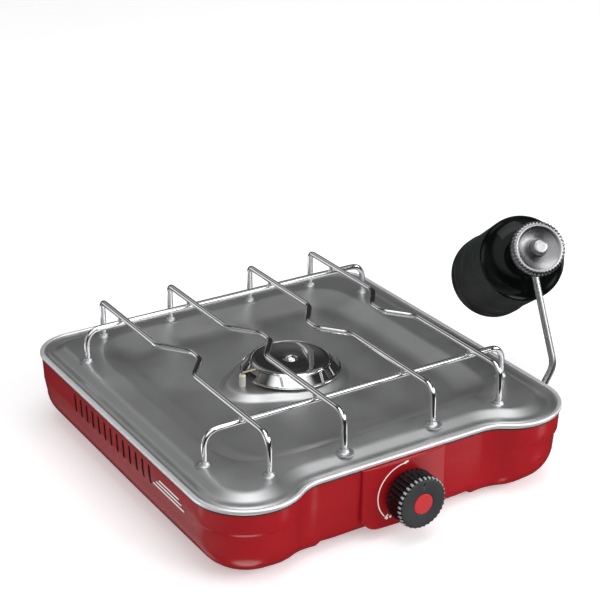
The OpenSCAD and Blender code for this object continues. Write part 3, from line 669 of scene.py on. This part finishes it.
def make_casing():
    """Red shell, with painted shade in near-black: on its inside, in a line under the hem and on
    the walls of every cut.
    """
    casing = piece("casing_shell", flipped(loft(level(wall_levels))), RED, "stove", ["casing"])
    cuts = []                   # each cutter reaches well past the sheet
    for i in range(VENTS):
        y = VENT_FIRST_Y - i * VENT_SPAN / (VENTS - 1)
        shape = [(y + across, z) for z, across in stadium(VENT_LOW, VENT_HIGH, VENT_HALF)]
        cuts.append(moved(prism(shape, -RIM_HALF - 2, -RIM_HALF + 8), TO_SIDE))
    to_front = Matrix.Translation((0, 0, KNOB_Z)) @ turn_to(FORWARD)
    cuts.append(moved(prism(circle(KNOB_HOLE_R), RIM_FRONT - 12, RIM_FRONT + 2), to_front))
    to_right = Matrix.Translation(SOCKET) @ turn_to(RIGHT)
    cuts.append(moved(prism(circle(SOCKET_HOLE_R), 12, 30), to_right))
    # The second slot is near-black painted shade, for the inside of the sheet and the walls of
    # the cuts.
    casing.data.materials.append(SHADE_BLACK)
    inner_from = len(wall_levels(RIM[0])) - INNER_LEVELS
    # Rows under the hem are painted as a shadow line, and the rows inside the sheet as shade.
    for face in casing.data.polygons:
        row = face.index // len(RIM)
        if row < SHADOW_LINE_ROWS or row >= inner_from:
            face.material_index = 1
    cut_with(casing, cuts, 34, cut_slot=1)


# ---------- drip pan ----------

COLLARS = [(x, y) for x in (-OUTER_X, -INNER_X, INNER_X, OUTER_X) for y in (-LEG_Y, LEG_Y)]
COLLARS += [(x, y) for x in (-LEG_X, LEG_X) for y in (-CROSS_Y, CROSS_Y)]


SHELF_EDGE, WELL_EDGE = (127, 131, 7), (107, 109, -1)   # half width, half depth, middle
SQUARENESS = 7
SPOKE_INSET = 20        # where the lines across the pan run to


def soft_box(p, half_w, half_d, mid_y):
    """Rounded rectangle, met along the line from its centre to a rim point."""
    q = p.inset(SPOKE_INSET)
    a = math.atan2(q.y - mid_y, q.x)
    across, along = abs(math.cos(a)) / half_w, abs(math.sin(a)) / half_d
    r = (across ** SQUARENESS + along ** SQUARENESS) ** (-1 / SQUARENESS)
    return Vector((r * math.cos(a), mid_y + r * math.sin(a)))


def boss_ring(p, radius, far):
    """Circle round the burner, run out towards the electrode."""
    q = p.inset(SPOKE_INSET) - BURNER
    a = math.atan2(q.y, q.x)
    s = SPARK - BURNER
    out = radius + far * max(0, math.cos(a - math.atan2(s.y, s.x))) ** 7
    return BURNER + Vector((math.cos(a), math.sin(a))) * out


def pan_spoke(p):
    """Rounded section of the pan's top face, from the hem to the burner."""
    corners = [(*p.inset(3.2), RIM_TOP - 0.9), (*p.inset(12.5), RIM_TOP - 1.3),
               (*p.inset(21.5), SHELF_Z), (*soft_box(p, *SHELF_EDGE), SHELF_Z + 0.1),
               (*soft_box(p, *WELL_EDGE), WELL_Z), (*boss_ring(p, 48, 21), WELL_Z),
               (*boss_ring(p, 42, 19), BOSS_Z), (*boss_ring(p, 33, 0), BOSS_Z)]
    return rounded(corners, [2.6, 3.2, 2.8, 6.0, 3.0, 2.6], steps=6)


def make_pan():
    spokes = [pan_spoke(p) for p in RIM]
    rings = [[spoke[k] for spoke in spokes] for k in range(len(spokes[0]))]
    pan = piece("pan_sheet", loft(rings, closed=False), PAN, "stove", ["drip_pan"],
                sharp=60)
    solid = pan.modifiers.new("sheet", "SOLIDIFY")
    solid.thickness = PAN_T * MM
    solid.offset = -1
    bake(pan)

    hem = [[3.7, RIM_TOP - 1.0], [3.3, RIM_TOP - 0.25], [2.5, RIM_TOP], [1.3, RIM_TOP],
           [0.5, RIM_TOP - 0.35], [0.1, RIM_TOP - 1.0], [0, RIM_TOP - 1.8],
           [0.05, RIM_TOP - 2.9], [0.4, RIM_TOP - 3.5], [0.9, RIM_TOP - 3.7],
           [1.25, RIM_TOP - 3.3], [1.3, RIM_TOP - 1.9], [3.6, RIM_TOP - 1.6]]
    piece("rim_hem", flipped(loft(level(lambda p: hem))), HEM, "stove",
          sharp=50)

    flare = rounded([(7.6, SHELF_Z - 0.06), (4.6, SHELF_Z + 0.12), (3.1, COLLAR_Z - 1.0),
                     (2.95, COLLAR_Z - 0.85), (2.72, COLLAR_Z - 0.95), (2.7, SHELF_Z - 1.2)],
                    [2.8, 0.5, 0.1, 0.1], steps=7)
    cones = [moved(lathe(flare + [(7.6, SHELF_Z - 1.2)], 48), Matrix.Translation((x, y, 0)))
             for x, y in COLLARS]
    piece("leg_collars", flipped(joined(*cones)), PAN, "stove", sharp=60)


# ---------- grate ----------

BUMP = 18.5
BUMP_STARTS, BUMP_FULL = (38, -27), (12, -3.5)      # rear and front ends of the bend


def long_wire(x, side):
    """Middle line of a long wire, which bends sideways over the burner."""
    rear, front = BUMP_STARTS
    full_rear, full_front = BUMP_FULL
    corners = [(x, LEG_Y, LEG_FOOT), (x, LEG_Y, GRATE_Z), (x, rear, GRATE_Z),
               (x + side, full_rear, GRATE_Z), (x + side, full_front, GRATE_Z),
               (x, front, GRATE_Z), (x, -LEG_Y, GRATE_Z), (x, -LEG_Y, LEG_FOOT)]
    return rounded(corners, [6, 6, 5, 5, 6, 12], steps=8)


def cross_wire(y):
    corners = [(-LEG_X, y, LEG_FOOT), (-LEG_X, y, CROSS_Z), (LEG_X, y, CROSS_Z),
               (LEG_X, y, LEG_FOOT)]
    return rounded(corners, [14, 14], steps=10)


def weld(x, y, z):
    """Small flattened bead where two wires meet."""
    half_width, half_height, steps = 2.5, 1.7, 8
    profile = [(0, -half_height)]
    for i in range(1, steps):
        a = math.pi * i / steps
        profile.append((half_width * math.sin(a), -half_height * math.cos(a)))
    profile.append((0, half_height))
    return moved(lathe(profile, 16), Matrix.Translation((x, y, z)))


def make_grate():
    places = [(-OUTER_X, BUMP), (-INNER_X, BUMP), (INNER_X, -BUMP), (OUTER_X, -BUMP)]
    for i, (x, side) in enumerate(places):
        piece(f"grate_wire_{i + 1}", tube(long_wire(x, side), WIRE_R), CHROME, "grate",
              [f"pot_wire_{i + 1}"])
    for name, y in (("front", -CROSS_Y), ("rear", CROSS_Y)):
        piece(f"grate_cross_{name}", tube(cross_wire(y), WIRE_R), CHROME, "grate",
              [f"cross_wire_{name}"])
    z = (GRATE_Z + CROSS_Z) / 2
    apart = 1.2
    beads = [weld(x, y + shift, z) for x, _ in places for y in (-CROSS_Y, CROSS_Y)
             for shift in (-apart, apart)]
    piece("grate_welds", joined(*beads), WELD, "grate")


# ---------- burner ----------

def make_burner():
    at = Matrix.Translation((BURNER.x * MM, BURNER.y * MM, 0))
    base, top = skirt_low.z, skirt_high.z
    skirt = rounded([(40.4, base), (41.9, base), (43.0, base + 0.5), (42.7, base + 1.15),
                     (41.2, base + 1.25), (35.3, top - 0.5), (34.7, top), (34.1, top - 0.2),
                     (40.2, base + 1.1), (40.4, base)],
                    [0.3, 0.3, 0.25, 0.5, 0.3, 0.2, 0.2, 0.3], steps=4)[:-1]
    obj = piece("burner_cone", flipped(lathe(skirt, 160)), MIRROR, "stove", ["burner_skirt"],
                place=at)
    notch = block((-50, -36), (BURNER.y - 8, BURNER.y + 8), (base - 2, base + 5))
    cut_with(obj, [notch])

    low, high = cap_low.z, cap_high.z
    cap = rounded([(2.2, low), (33.0, low), (33.8, low + 0.7), (33.8, high - 1.1),
                   (32.6, high - 0.3), (30.0, high), (18.0, high - 0.8), (6.4, high - 1.1),
                   (5.4, high - 1.5), (2.2, high - 1.5)],
                  [0.3, 0.3, 0.4, 0.8, 1.2, 5.0, 0.5, 0.4], steps=6)
    piece("burner_top", flipped(lathe(cap, 160)), MIRROR, "stove", ["burner_cap"],
          place=at)

    shank = 2.0
    screw = rounded([(0, high - 14), (shank, high - 14), (shank, high - 1.5), (4.6, high - 1.5),
                     (4.5, high - 0.2), (2.8, high + 0.9), (0, high + 1.2)],
                    [0.2, 0.2, 0.2, 0.7, 1.0], steps=5)
    obj = piece("burner_rivet", flipped(lathe(screw, 64)), MIRROR, "stove", ["burner_screw"],
                place=at)
    slot = block((BURNER.x - 2.6, BURNER.x + 2.6), (BURNER.y - 0.4, BURNER.y + 0.4),
                 (high + 0.4, high + 3))
    cut_with(obj, [slot])


# ---------- control panel and printing ----------

PANEL_BULGE = 2.6
PANEL_FLOOR = 9.5
PANEL_TOP = 63.9
PANEL_CORNER = 14.0
PANEL_BACK_Y = -158.6


def panel_face_y(x):
    """Front of the bulged panel at a sideways place."""
    return PANEL_Y + PANEL_BULGE * (x / PANEL_HALF) ** 2


def panel_outline(corner_steps=14, side_steps=10, foot_steps=6, top_steps=24):
    """Shield with a straight top and rounded lower corners, clockwise seen from the front,
    as (x, z)."""
    low = PANEL_FLOOR + PANEL_CORNER
    inner = PANEL_HALF - PANEL_CORNER
    right = [(PANEL_HALF, PANEL_TOP - (PANEL_TOP - low) * i / side_steps)
             for i in range(side_steps)]
    for i in range(corner_steps + 1):
        a = math.pi / 2 * i / corner_steps
        right.append((inner + PANEL_CORNER * math.cos(a), low - PANEL_CORNER * math.sin(a)))
    right += [(inner * (1 - i / foot_steps), PANEL_FLOOR) for i in range(1, foot_steps)]
    left = [(-x, z) for x, z in reversed(right)]
    top = [(-PANEL_HALF + 2 * PANEL_HALF * i / top_steps, PANEL_TOP) for i in range(1, top_steps)]
    return right + [(0, PANEL_FLOOR)] + left + top


def shrunk(x, z, m):
    """Point of the panel's outline drawn in towards the panel's centre by m."""
    middle = (PANEL_FLOOR + PANEL_TOP) / 2
    return x - m * x / PANEL_HALF, z - m * (z - middle) / (PANEL_TOP - middle)


def make_panel():
    """Rings from the back edge over the rounded edge, across the face and into the hole."""
    outline = panel_outline()
    rings = [[(x, PANEL_BACK_Y, z) for x, z in outline]]
    for m, drop in ((0, 1.0), (0.07, 0.55), (0.245, 0.2), (0.56, 0.04), (0.98, 0)):
        flat = [shrunk(x, z, m) for x, z in outline]
        rings.append([(x, panel_face_y(x) + drop, z) for x, z in flat])
    for t in (0.1, 0.22, 0.36, 0.5, 0.64, 0.78, 0.9, 1.0):
        ring = []
        for x, z in flat:
            a = math.atan2(z - KNOB_Z, x)
            hole_x, hole_z = KNOB_HOLE_R * math.cos(a), KNOB_Z + KNOB_HOLE_R * math.sin(a)
            px = x + (hole_x - x) * t
            ring.append((px, panel_face_y(px), z + (hole_z - z) * t))
        rings.append(ring)
    rings.append([(x, PANEL_BACK_Y, z) for x, _, z in rings[-1]])
    piece("panel_shield", flipped(loft(rings)), RED, "stove", ["control_panel"],
          sharp=44)


DIAL_SWEEP = 130


def print_strip(path, width):
    """Flat printed line along (x, z) points on the panel, with a hair of thickness."""
    path = [Vector(p) for p in path]
    rings = []
    for i, p in enumerate(path):
        along = (path[min(i + 1, len(path) - 1)] - path[max(i - 1, 0)]).normalized()
        side = Vector((-along.y, along.x)) * width / 2
        corners = [(p + side, 0.2), (p - side, 0.2), (p - side, -0.08), (p + side, -0.08)]
        rings.append([(q.x, panel_face_y(q.x) - lift, q.y) for q, lift in corners])
    points, faces = loft(rings, closed=False)
    faces += [(3, 2, 1, 0), tuple(range(len(points) - 4, len(points)))]
    return points, faces


def on_dial(angle, radius):
    """Point on the dial; the angle runs from the top, to the left as seen from the front."""
    a = math.radians(angle)
    return (-radius * math.sin(a), KNOB_Z + radius * math.cos(a))


def make_prints():
    """Arc, dot and tick of the dial, and three bars where the real stove has lettering."""
    arc_r, steps = 25.5, 60
    arc = print_strip([on_dial(DIAL_SWEEP * i / steps, arc_r) for i in range(steps + 1)], 0.85)
    dot = print_strip([(x, KNOB_Z + 26) for x in (-1.2, 1.2)], 1.5)
    start = print_strip([on_dial(4, 24.6), on_dial(4, 26.4)], 1.6)
    tick = print_strip([on_dial(DIAL_SWEEP + 4, 22.6), on_dial(DIAL_SWEEP + 4, 26.6)], 1.3)
    bars = []
    for i in range(3):
        x, z = -18.2 + i * 3.1, 17.6 + i * 0.5
        bars.append(print_strip([(x, z), (x + 1.9, z)], 1.9))
    piece("dial_print", joined(arc, dot, start, tick, *bars), PRINT, "stove", ["dial_marks"])


# ---------- knob ----------

FLUTES = 32
FLUTE_STEPS = 12
RIDGE_HIGHLIGHT_ROWS = (4, 5, 6)     # rows of the grip whose ridges carry a painted highlight
KNOB_CAVITY_R, KNOB_BOSS_R, STEM_HOLE_R = 17.5, 5.2, 4.1
BUTTON_R = 8.5


def make_knob():
    """Fluted grip with a painted highlight on its ridges in front, grey face with a notch that
    has painted shade in it, red button.
    """
    to_front = Matrix.Translation((0, 0, KNOB_Z * MM)) @ turn_to(FORWARD)
    back, front, top = -knob_high.y, -face_high.y, -face_low.y
    steps = FLUTES * FLUTE_STEPS
    grip = [(KNOB_CAVITY_R, back), (KNOB_R - 0.9, back, 1.0), (KNOB_R - 0.15, back + 0.8, 1.5),
            (KNOB_R, back + 2.5, 1.6), (KNOB_R, front - 2.6, 1.6),
            (KNOB_R - 0.05, front - 0.9, 1.5), (KNOB_R - 0.5, front - 0.25, 1.2),
            (KNOB_R - 1.3, front, 0.9), (STEM_HOLE_R, front), (STEM_HOLE_R, back + 4.2),
            (KNOB_BOSS_R, back + 4.2), (KNOB_BOSS_R, back + 13), (KNOB_CAVITY_R, back + 13)]
    obj = piece("knob_grip", flipped(lathe(grip, steps, FLUTES)), KNOB, "knob", ["control_knob"],
                sharp=50, place=to_front)
    obj.data.materials.append(KNOB_RIDGE_HIGHLIGHT)
    # Ridge faces in the front rows take a light grey finish as a painted highlight.
    for face in obj.data.polygons:
        row, step = divmod(face.index, steps)
        on_ridge = math.cos(2 * math.pi * (step + 0.5) / FLUTE_STEPS) < -0.2
        if row in RIDGE_HIGHLIGHT_ROWS and on_ridge:
            face.material_index = 1

    rim = KNOB_R - 1.1
    hole = BUTTON_R + 0.12
    plate = [(hole, front + 0.02), (rim, front + 0.02, 1.0), (rim, front + 0.35, 1.0),
             (rim - 0.25, top - 0.25, 0.9), (rim - 0.8, top, 0.7), (rim - 2.2, top, 0),
             (BUTTON_R + 0.9, top - 0.05), (BUTTON_R + 0.4, top - 0.25), (hole, top - 0.5)]
    obj = piece("knob_plate", flipped(lathe(plate, steps, FLUTES)), KNOB_FACE, "knob",
                ["knob_face"], sharp=50, place=to_front)
    # The notch's walls take the black seal finish as painted shade in the groove.
    obj.data.materials.append(SEAL_AND_NOTCH_SHADE)
    mark = KNOB_Z + KNOB_R - 4.9
    notch = prism(stadium(mark - 0.9, mark + 0.9, 0.62), top - 0.55, top + 2)
    cut_with(obj, [moved(notch, TO_FACE)], 50, cut_slot=1)

    button = rounded([(0, top - 0.95), (BUTTON_R, top - 0.95), (BUTTON_R, top - 0.05),
                      (BUTTON_R - 0.9, top + 0.18), (0, top + 0.2)], [0.1, 0.3, 0.6], steps=5)
    piece("knob_button", flipped(lathe(button, 96)), CAP_RED, "knob", ["knob_centre_cap"],
          place=to_front)


def make_spring():
    """Return spring round the stem. It rides on the knob as one piece."""
    low, high = box_mm("stem_spring")
    wire, turns, steps = 0.6, 5, 24     # half a turn at each end lies flat
    coil_r = (high.x - low.x) / 2 - wire
    length = high.y - low.y - 2 * wire
    path = []
    for i in range(turns * steps + 1):
        rise = min(1, max(0, (i / steps - 0.5) / (turns - 1)))
        a = 2 * math.pi * i / steps
        path.append((coil_r * math.cos(a), low.y + wire + length * rise,
                     KNOB_Z + coil_r * math.sin(a)))
    spring = piece("return_spring", tube(path, wire, 10), ZINC, "knob", ["stem_spring"])
    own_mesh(spring)


# ---------- regulator, pipe and cylinder ----------

def make_supply():
    """Bent pipe, dished cover with a crimped edge, and the boss in its middle."""
    start = Vector((plug_high.x, SOCKET.y, SOCKET.z))
    path = rounded([start, start + Vector((2.9, 0, 0)), PIPE_KNEE, PIPE_END], [2.6, 7], steps=9)
    piece("supply_pipe", tube(path, PIPE_R, 28, PIPE_R - PIPE_WALL), PIPE, "regulator",
          ["regulator_pipe"])

    crimps = 44
    cover = [(7.6, 9.0), (9.2, 8.6), (12, 7.75), (16.6, 6.45), (17.5, 6.0), (18.4, 5.45),
             (19.2, 5.3), (20.2, 5.35, 0.1), (21.4, 5.6, 0.35), (22.6, 6.3, 0.8),
             (23.4, 7.3, 0.9), (23.5, 8.4, 0.5), (23.4, 9.4, 0), (23.5, 12.0), (23.2, 12.8),
             (22.6, 13.2), (20.8, 13.2), (20.8, 9), (9, 11.2), (7.6, 11.2)]
    piece("regulator_dish", lathe(cover, crimps * 8, crimps), DISH, "regulator",
          ["regulator_cover"], sharp=40, place=TANK_FRAME)
    boss = rounded([(0, 0.25), (4.6, 0.05), (6.3, 0.9), (6.3, 7.6), (7.5, 9.3), (7.5, 12),
                    (0, 12)], [1.2, 0.7, 1.0, 0.8, 0.3], steps=5)
    piece("regulator_button", lathe(boss, 96), BOSS, "regulator", ["regulator_boss"],
          place=TANK_FRAME)


NECK_R = 14.0
DOME_FROM, DOME_TO = 38.0, 54.0     # places along the cylinder's axis
SLEEVE_FROM, SLEEVE_TO = 55.0, 135.4
TANK_END = 147.0
SHELL_T = 1.3
SLEEVE_GROOVES = (77, 79.4, 116, 118.4)


def dome(angle, inward=0.0):
    """Point on the cylinder's shoulder, 0 at the neck and 90 where the side starts."""
    a = math.radians(angle)
    return (NECK_R + (TANK_R - NECK_R - inward) * math.sin(a),
            DOME_TO - (DOME_TO - DOME_FROM - inward) * math.cos(a))


def make_cylinder():
    """Painted shell, hollow inside, with a sleeve round its side and a foot ring."""
    end = TANK_END
    shell = [(9, 31), (9.6, 31), (10, 31.4), (10, 36.6), (10.6, 37.6), (12, DOME_FROM)]
    shell += [dome(a) for a in range(4, 91, 4)] + [dome(90)]
    shell += [(TANK_R, SLEEVE_FROM - 0.3), (TANK_R - 0.25, SLEEVE_FROM),
              (TANK_R - 0.25, SLEEVE_TO), (TANK_R, SLEEVE_TO + 0.3), (TANK_R, end - 9),
              (TANK_R - 3, end - 4), (0, end - 1.5)]
    inner = [(0, end - 2.7), (TANK_R - 3.6, end - 5), (TANK_R - SHELL_T, end - 9)]
    inner += [dome(a, SHELL_T) for a in range(88, 0, -8)] + [(9, 39.1), (9, 31)]
    piece("cylinder_shell", joined(lathe(shell, 144), lathe(inner, 144)), TANK, "cylinder",
          ["gas_cylinder"], sharp=30, place=TANK_FRAME)

    deep = TANK_R - 0.22
    sleeve = [(TANK_R - 0.24, SLEEVE_FROM + 0.1), (TANK_R - 0.05, SLEEVE_FROM + 0.1),
              (TANK_R, SLEEVE_FROM + 0.4)]
    for z in SLEEVE_GROOVES:
        sleeve += [(TANK_R, z - 0.5), (deep, z - 0.15), (deep, z + 0.15), (TANK_R, z + 0.5)]
    sleeve += [(TANK_R, SLEEVE_TO - 0.4), (TANK_R - 0.05, SLEEVE_TO - 0.1),
               (TANK_R - 0.24, SLEEVE_TO - 0.1)]
    piece("cylinder_sleeve", lathe(sleeve, 144), SLEEVE, "cylinder", sharp=30,
          place=TANK_FRAME)

    foot = rounded([(TANK_R + 0.05, end - 12), (TANK_R + 1.2, end - 11),
                    (TANK_R + 1.2, end + 0.6), (TANK_R + 0.4, end + 2), (TANK_R - 3, end + 2),
                    (TANK_R - 3, end - 3.4), (TANK_R + 0.05, end - 7), (TANK_R + 0.05, end - 12)],
                   [0.5, 0.6, 0.6, 0.4, 0.5, 0.4], steps=4)[:-1]
    piece("cylinder_base_ring", lathe(foot, 144), FOOT, "cylinder", ["cylinder_foot"],
          place=TANK_FRAME)


# ---------- side print ----------

def make_side_print():
    """Three plain stripes on the left wall, where the real stove carries a printed mark."""
    low, high = box_mm("side_stripes")
    half, length = 0.65, 50
    bars = []
    for i in range(3):
        front = low.y + i * 4 + half
        rear = low.y + i * 4 + length - i * 9 - half
        z = low.z + i * 3.2 + half
        arc = [math.pi * k / 6 for k in range(7)]
        shape = [(rear + half * math.sin(a), z + half * math.cos(a)) for a in arc]
        shape += [(front - half * math.sin(a), z - half * math.cos(a)) for a in arc]
        bars.append(moved(prism(shape[::-1], low.x, high.x), TO_SIDE))
    piece("side_print", joined(*bars), PRINT, "stove", ["side_stripes"])


# ---------- materials of this stove ----------

# Near-black painted shade for the casing's inside, the line under the hem and the walls of its
# cuts, with a little dust.
SHADE_BLACK = finish("painted_shade_black", (0.020, 0.018, 0.018), 0.7, mottle=0.15, mottle_mm=12,
                grain_um=25, grain_mm=0.6, dust=0.1)
RED = finish("red_enamel", (0.335, 0.0095, 0.014), 0.20, mottle=0.05, mottle_mm=60,
             rough_vary=0.03, grain_um=6, grain_mm=1.6, specular=0.32, coat=0.20, coat_rough=0.08,
             edge_wear_and_sheen=(0.42, 0.05, 0.05), edge_wear_and_sheen_at=0.60)
PAN = finish("pan_steel", (0.54, 0.545, 0.55), 0.42, metallic=1, mottle=0.05, mottle_mm=55,
             rough_vary=0.04, grain_um=5, grain_mm=0.5, edge_wear_and_sheen=(0.62, 0.62, 0.62), edge_wear_and_sheen_at=0.58)
HEM = finish("hem_steel", (0.94, 0.94, 0.95), 0.36, metallic=0.65, mottle=0.03, mottle_mm=30,
             rough_vary=0.05, grain_um=4, grain_mm=0.5)
CHROME = finish("wire_chrome", (0.82, 0.82, 0.83), 0.09, metallic=1, mottle=0.03, mottle_mm=12,
                rough_vary=0.04, grain_um=3, grain_mm=0.9)
WELD = finish("weld_metal", (0.62, 0.61, 0.60), 0.28, metallic=1, mottle=0.18, mottle_mm=2,
              rough_vary=0.12, grain_um=60, grain_mm=0.8)
MIRROR = finish("burner_chrome", (0.84, 0.84, 0.85), 0.05, metallic=1, mottle=0.03, mottle_mm=9,
                rough_vary=0.03, grain_um=2, grain_mm=1.2)
PRINT = finish("print_white", (0.95, 0.88, 0.87), 0.55, mottle=0.06, mottle_mm=4, grain_um=12,
               grain_mm=0.3)
KNOB_AXIS = ((0, 0, KNOB_Z * MM), FORWARD)
# The grip's lighter sharp edges are a painted highlight on the flutes.
KNOB = finish("knob_black", (0.005, 0.005, 0.006), 0.22, mottle=0.15, rough_vary=0.06,
              grain_mm=0.35, specular=0.32, edge_wear_and_sheen=(0.42, 0.42, 0.43), edge_wear_and_sheen_at=0.54)
# Light grey painted highlight for the grip's ridges in front.
KNOB_RIDGE_HIGHLIGHT = finish("knob_ridge_highlight", (0.34, 0.35, 0.35), 0.38, mottle_mm=4, rough_vary=0.06,
                   grain_um=10, grain_mm=0.35)
KNOB_FACE = finish("knob_grey", (0.034, 0.036, 0.037), 0.52, mottle=0.08, mottle_mm=6,
                   rough_vary=0.06, grain_um=14, grain_mm=0.3, turned=KNOB_AXIS, turned_um=3,
                   turned_mm=0.4, edge_wear_and_sheen=(0.20, 0.20, 0.20), edge_wear_and_sheen_at=0.57)
CAP_RED = finish("cap_red", (0.52, 0.018, 0.022), 0.42, mottle=0.05, rough_vary=0.05, grain_um=10,
                 grain_mm=0.3)
PIPE = finish("pipe_steel", (0.46, 0.46, 0.47), 0.27, metallic=1, mottle=0.05, mottle_mm=12,
              rough_vary=0.05, grain_um=3, grain_mm=0.6)
TANK_TURN = (tuple(TANK_TIP * MM), tuple(TANK_AXIS))
DISH = finish("regulator_alloy", (0.27, 0.27, 0.28), 0.27, metallic=1, mottle=0.05, mottle_mm=6,
              rough_vary=0.05, grain_um=5, turned=TANK_TURN, turned_um=10, turned_mm=0.22)
BOSS = finish("regulator_boss_alloy", (0.40, 0.40, 0.41), 0.36, metallic=1, mottle=0.04,
              rough_vary=0.05)
TANK = finish("tank_paint", (0.003, 0.004, 0.004), 0.10, mottle_mm=22, rough_vary=0.03,
              grain_um=4, grain_mm=1.5, specular=0.15)
SLEEVE = finish("tank_sleeve", (0.022, 0.030, 0.028), 0.46, mottle=0.10, mottle_mm=16,
                rough_vary=0.06, grain_um=14, grain_mm=0.5)
FOOT = finish("tank_foot", (0.016, 0.021, 0.020), 0.36, mottle_mm=9, rough_vary=0.07, grain_um=16,
              grain_mm=0.6, edge_wear_and_sheen=(0.06, 0.07, 0.065), edge_wear_and_sheen_at=0.60)
BRASS = finish("brass", (0.62, 0.43, 0.16), 0.26, metallic=1, mottle_mm=6, rough_vary=0.09,
               grain_mm=0.35)
ZINC = finish("zinc_steel", (0.58, 0.58, 0.56), 0.33, metallic=1, mottle_mm=4, rough_vary=0.1,
              grain_um=10, grain_mm=0.5)
ALLOY = finish("cast_alloy", (0.46, 0.46, 0.46), 0.48, metallic=1, mottle=0.14, mottle_mm=9,
               rough_vary=0.1, grain_um=60, grain_mm=0.9)
PLATE = finish("plate_steel", (0.30, 0.31, 0.32), 0.42, metallic=1, mottle=0.14, mottle_mm=30,
               grain_um=12, grain_mm=0.8, dust=0.15)
RUBBER = finish("rubber", (0.022, 0.022, 0.023), 0.78, mottle=0.2, mottle_mm=4, grain_um=45,
                grain_mm=0.6, dust=0.12)
PORTS = finish("port_steel", (0.42, 0.27, 0.17), 0.42, metallic=1, mottle=0.35, rough_vary=0.14,
               grain_um=20, grain_mm=0.5)
COPPER = finish("copper_pipe", (0.60, 0.32, 0.19), 0.27, metallic=1, mottle=0.16, mottle_mm=10)
PLASTIC = finish("black_plastic", (0.020, 0.020, 0.022), 0.5, grain_um=20)
LEAD = finish("lead_sleeve", (0.62, 0.58, 0.50), 0.6, mottle=0.1, mottle_mm=3, grain_um=30)
CERAMIC = finish("ceramic", (0.62, 0.60, 0.55), 0.30, mottle=0.08, mottle_mm=3, grain_um=10,
                 grain_mm=0.5, coat=0.3, dust=0.25)
ELECTRODE = finish("electrode_wire", (0.36, 0.29, 0.19), 0.36, metallic=1, mottle=0.4,
                   mottle_mm=3, rough_vary=0.12, grain_um=15)
# Black seal finish, also used as painted shade on the walls of the knob's notch.
SEAL_AND_NOTCH_SHADE = finish("seal_black", (0.018, 0.018, 0.018), 0.6, mottle=0.15, mottle_mm=3, grain_um=20)

SLOT_FINISH = {
    "red_enamel": RED, "print_white": PRINT, "pan_steel": PAN, "plate_steel": PLATE,
    "rubber": RUBBER, "zinc_steel": ZINC, "cast_alloy": ALLOY, "port_steel": PORTS,
    "burner_chrome": MIRROR, "brass": BRASS, "copper_pipe": COPPER, "black_plastic": PLASTIC,
    "lead_sleeve": LEAD, "ceramic": CERAMIC, "electrode_wire": ELECTRODE, "wire_chrome": CHROME,
    "knob_black": KNOB, "knob_grey": KNOB_FACE, "cap_red": CAP_RED, "pipe_steel": PIPE,
    "regulator_alloy": BOSS, "seal_black": SEAL_AND_NOTCH_SHADE, "tank_paint": TANK, "tank_foot": FOOT,
}


def dress_frame():
    """Gives each CAD node that stays in view the finish of its own material slot."""
    slot_of = {part["node"]: part["material_slot"] for part in frame["record"]["subparts"]}
    for name, obj in frame["nodes"].items():
        material = SLOT_FINISH[slot_of[name]]
        if not obj.data.materials:
            obj.data.materials.append(material)
        for i in range(len(obj.data.materials)):
            obj.material_slots[i].link = "OBJECT"
            obj.material_slots[i].material = material


make_camera()
make_sky()
make_lights()
make_floor()
bpy.context.scene.view_settings.view_transform = "Standard"
make_casing()
make_pan()
make_grate()
make_burner()
make_panel()
make_prints()
make_side_print()
make_knob()
make_spring()
make_supply()
make_cylinder()
dress_frame()
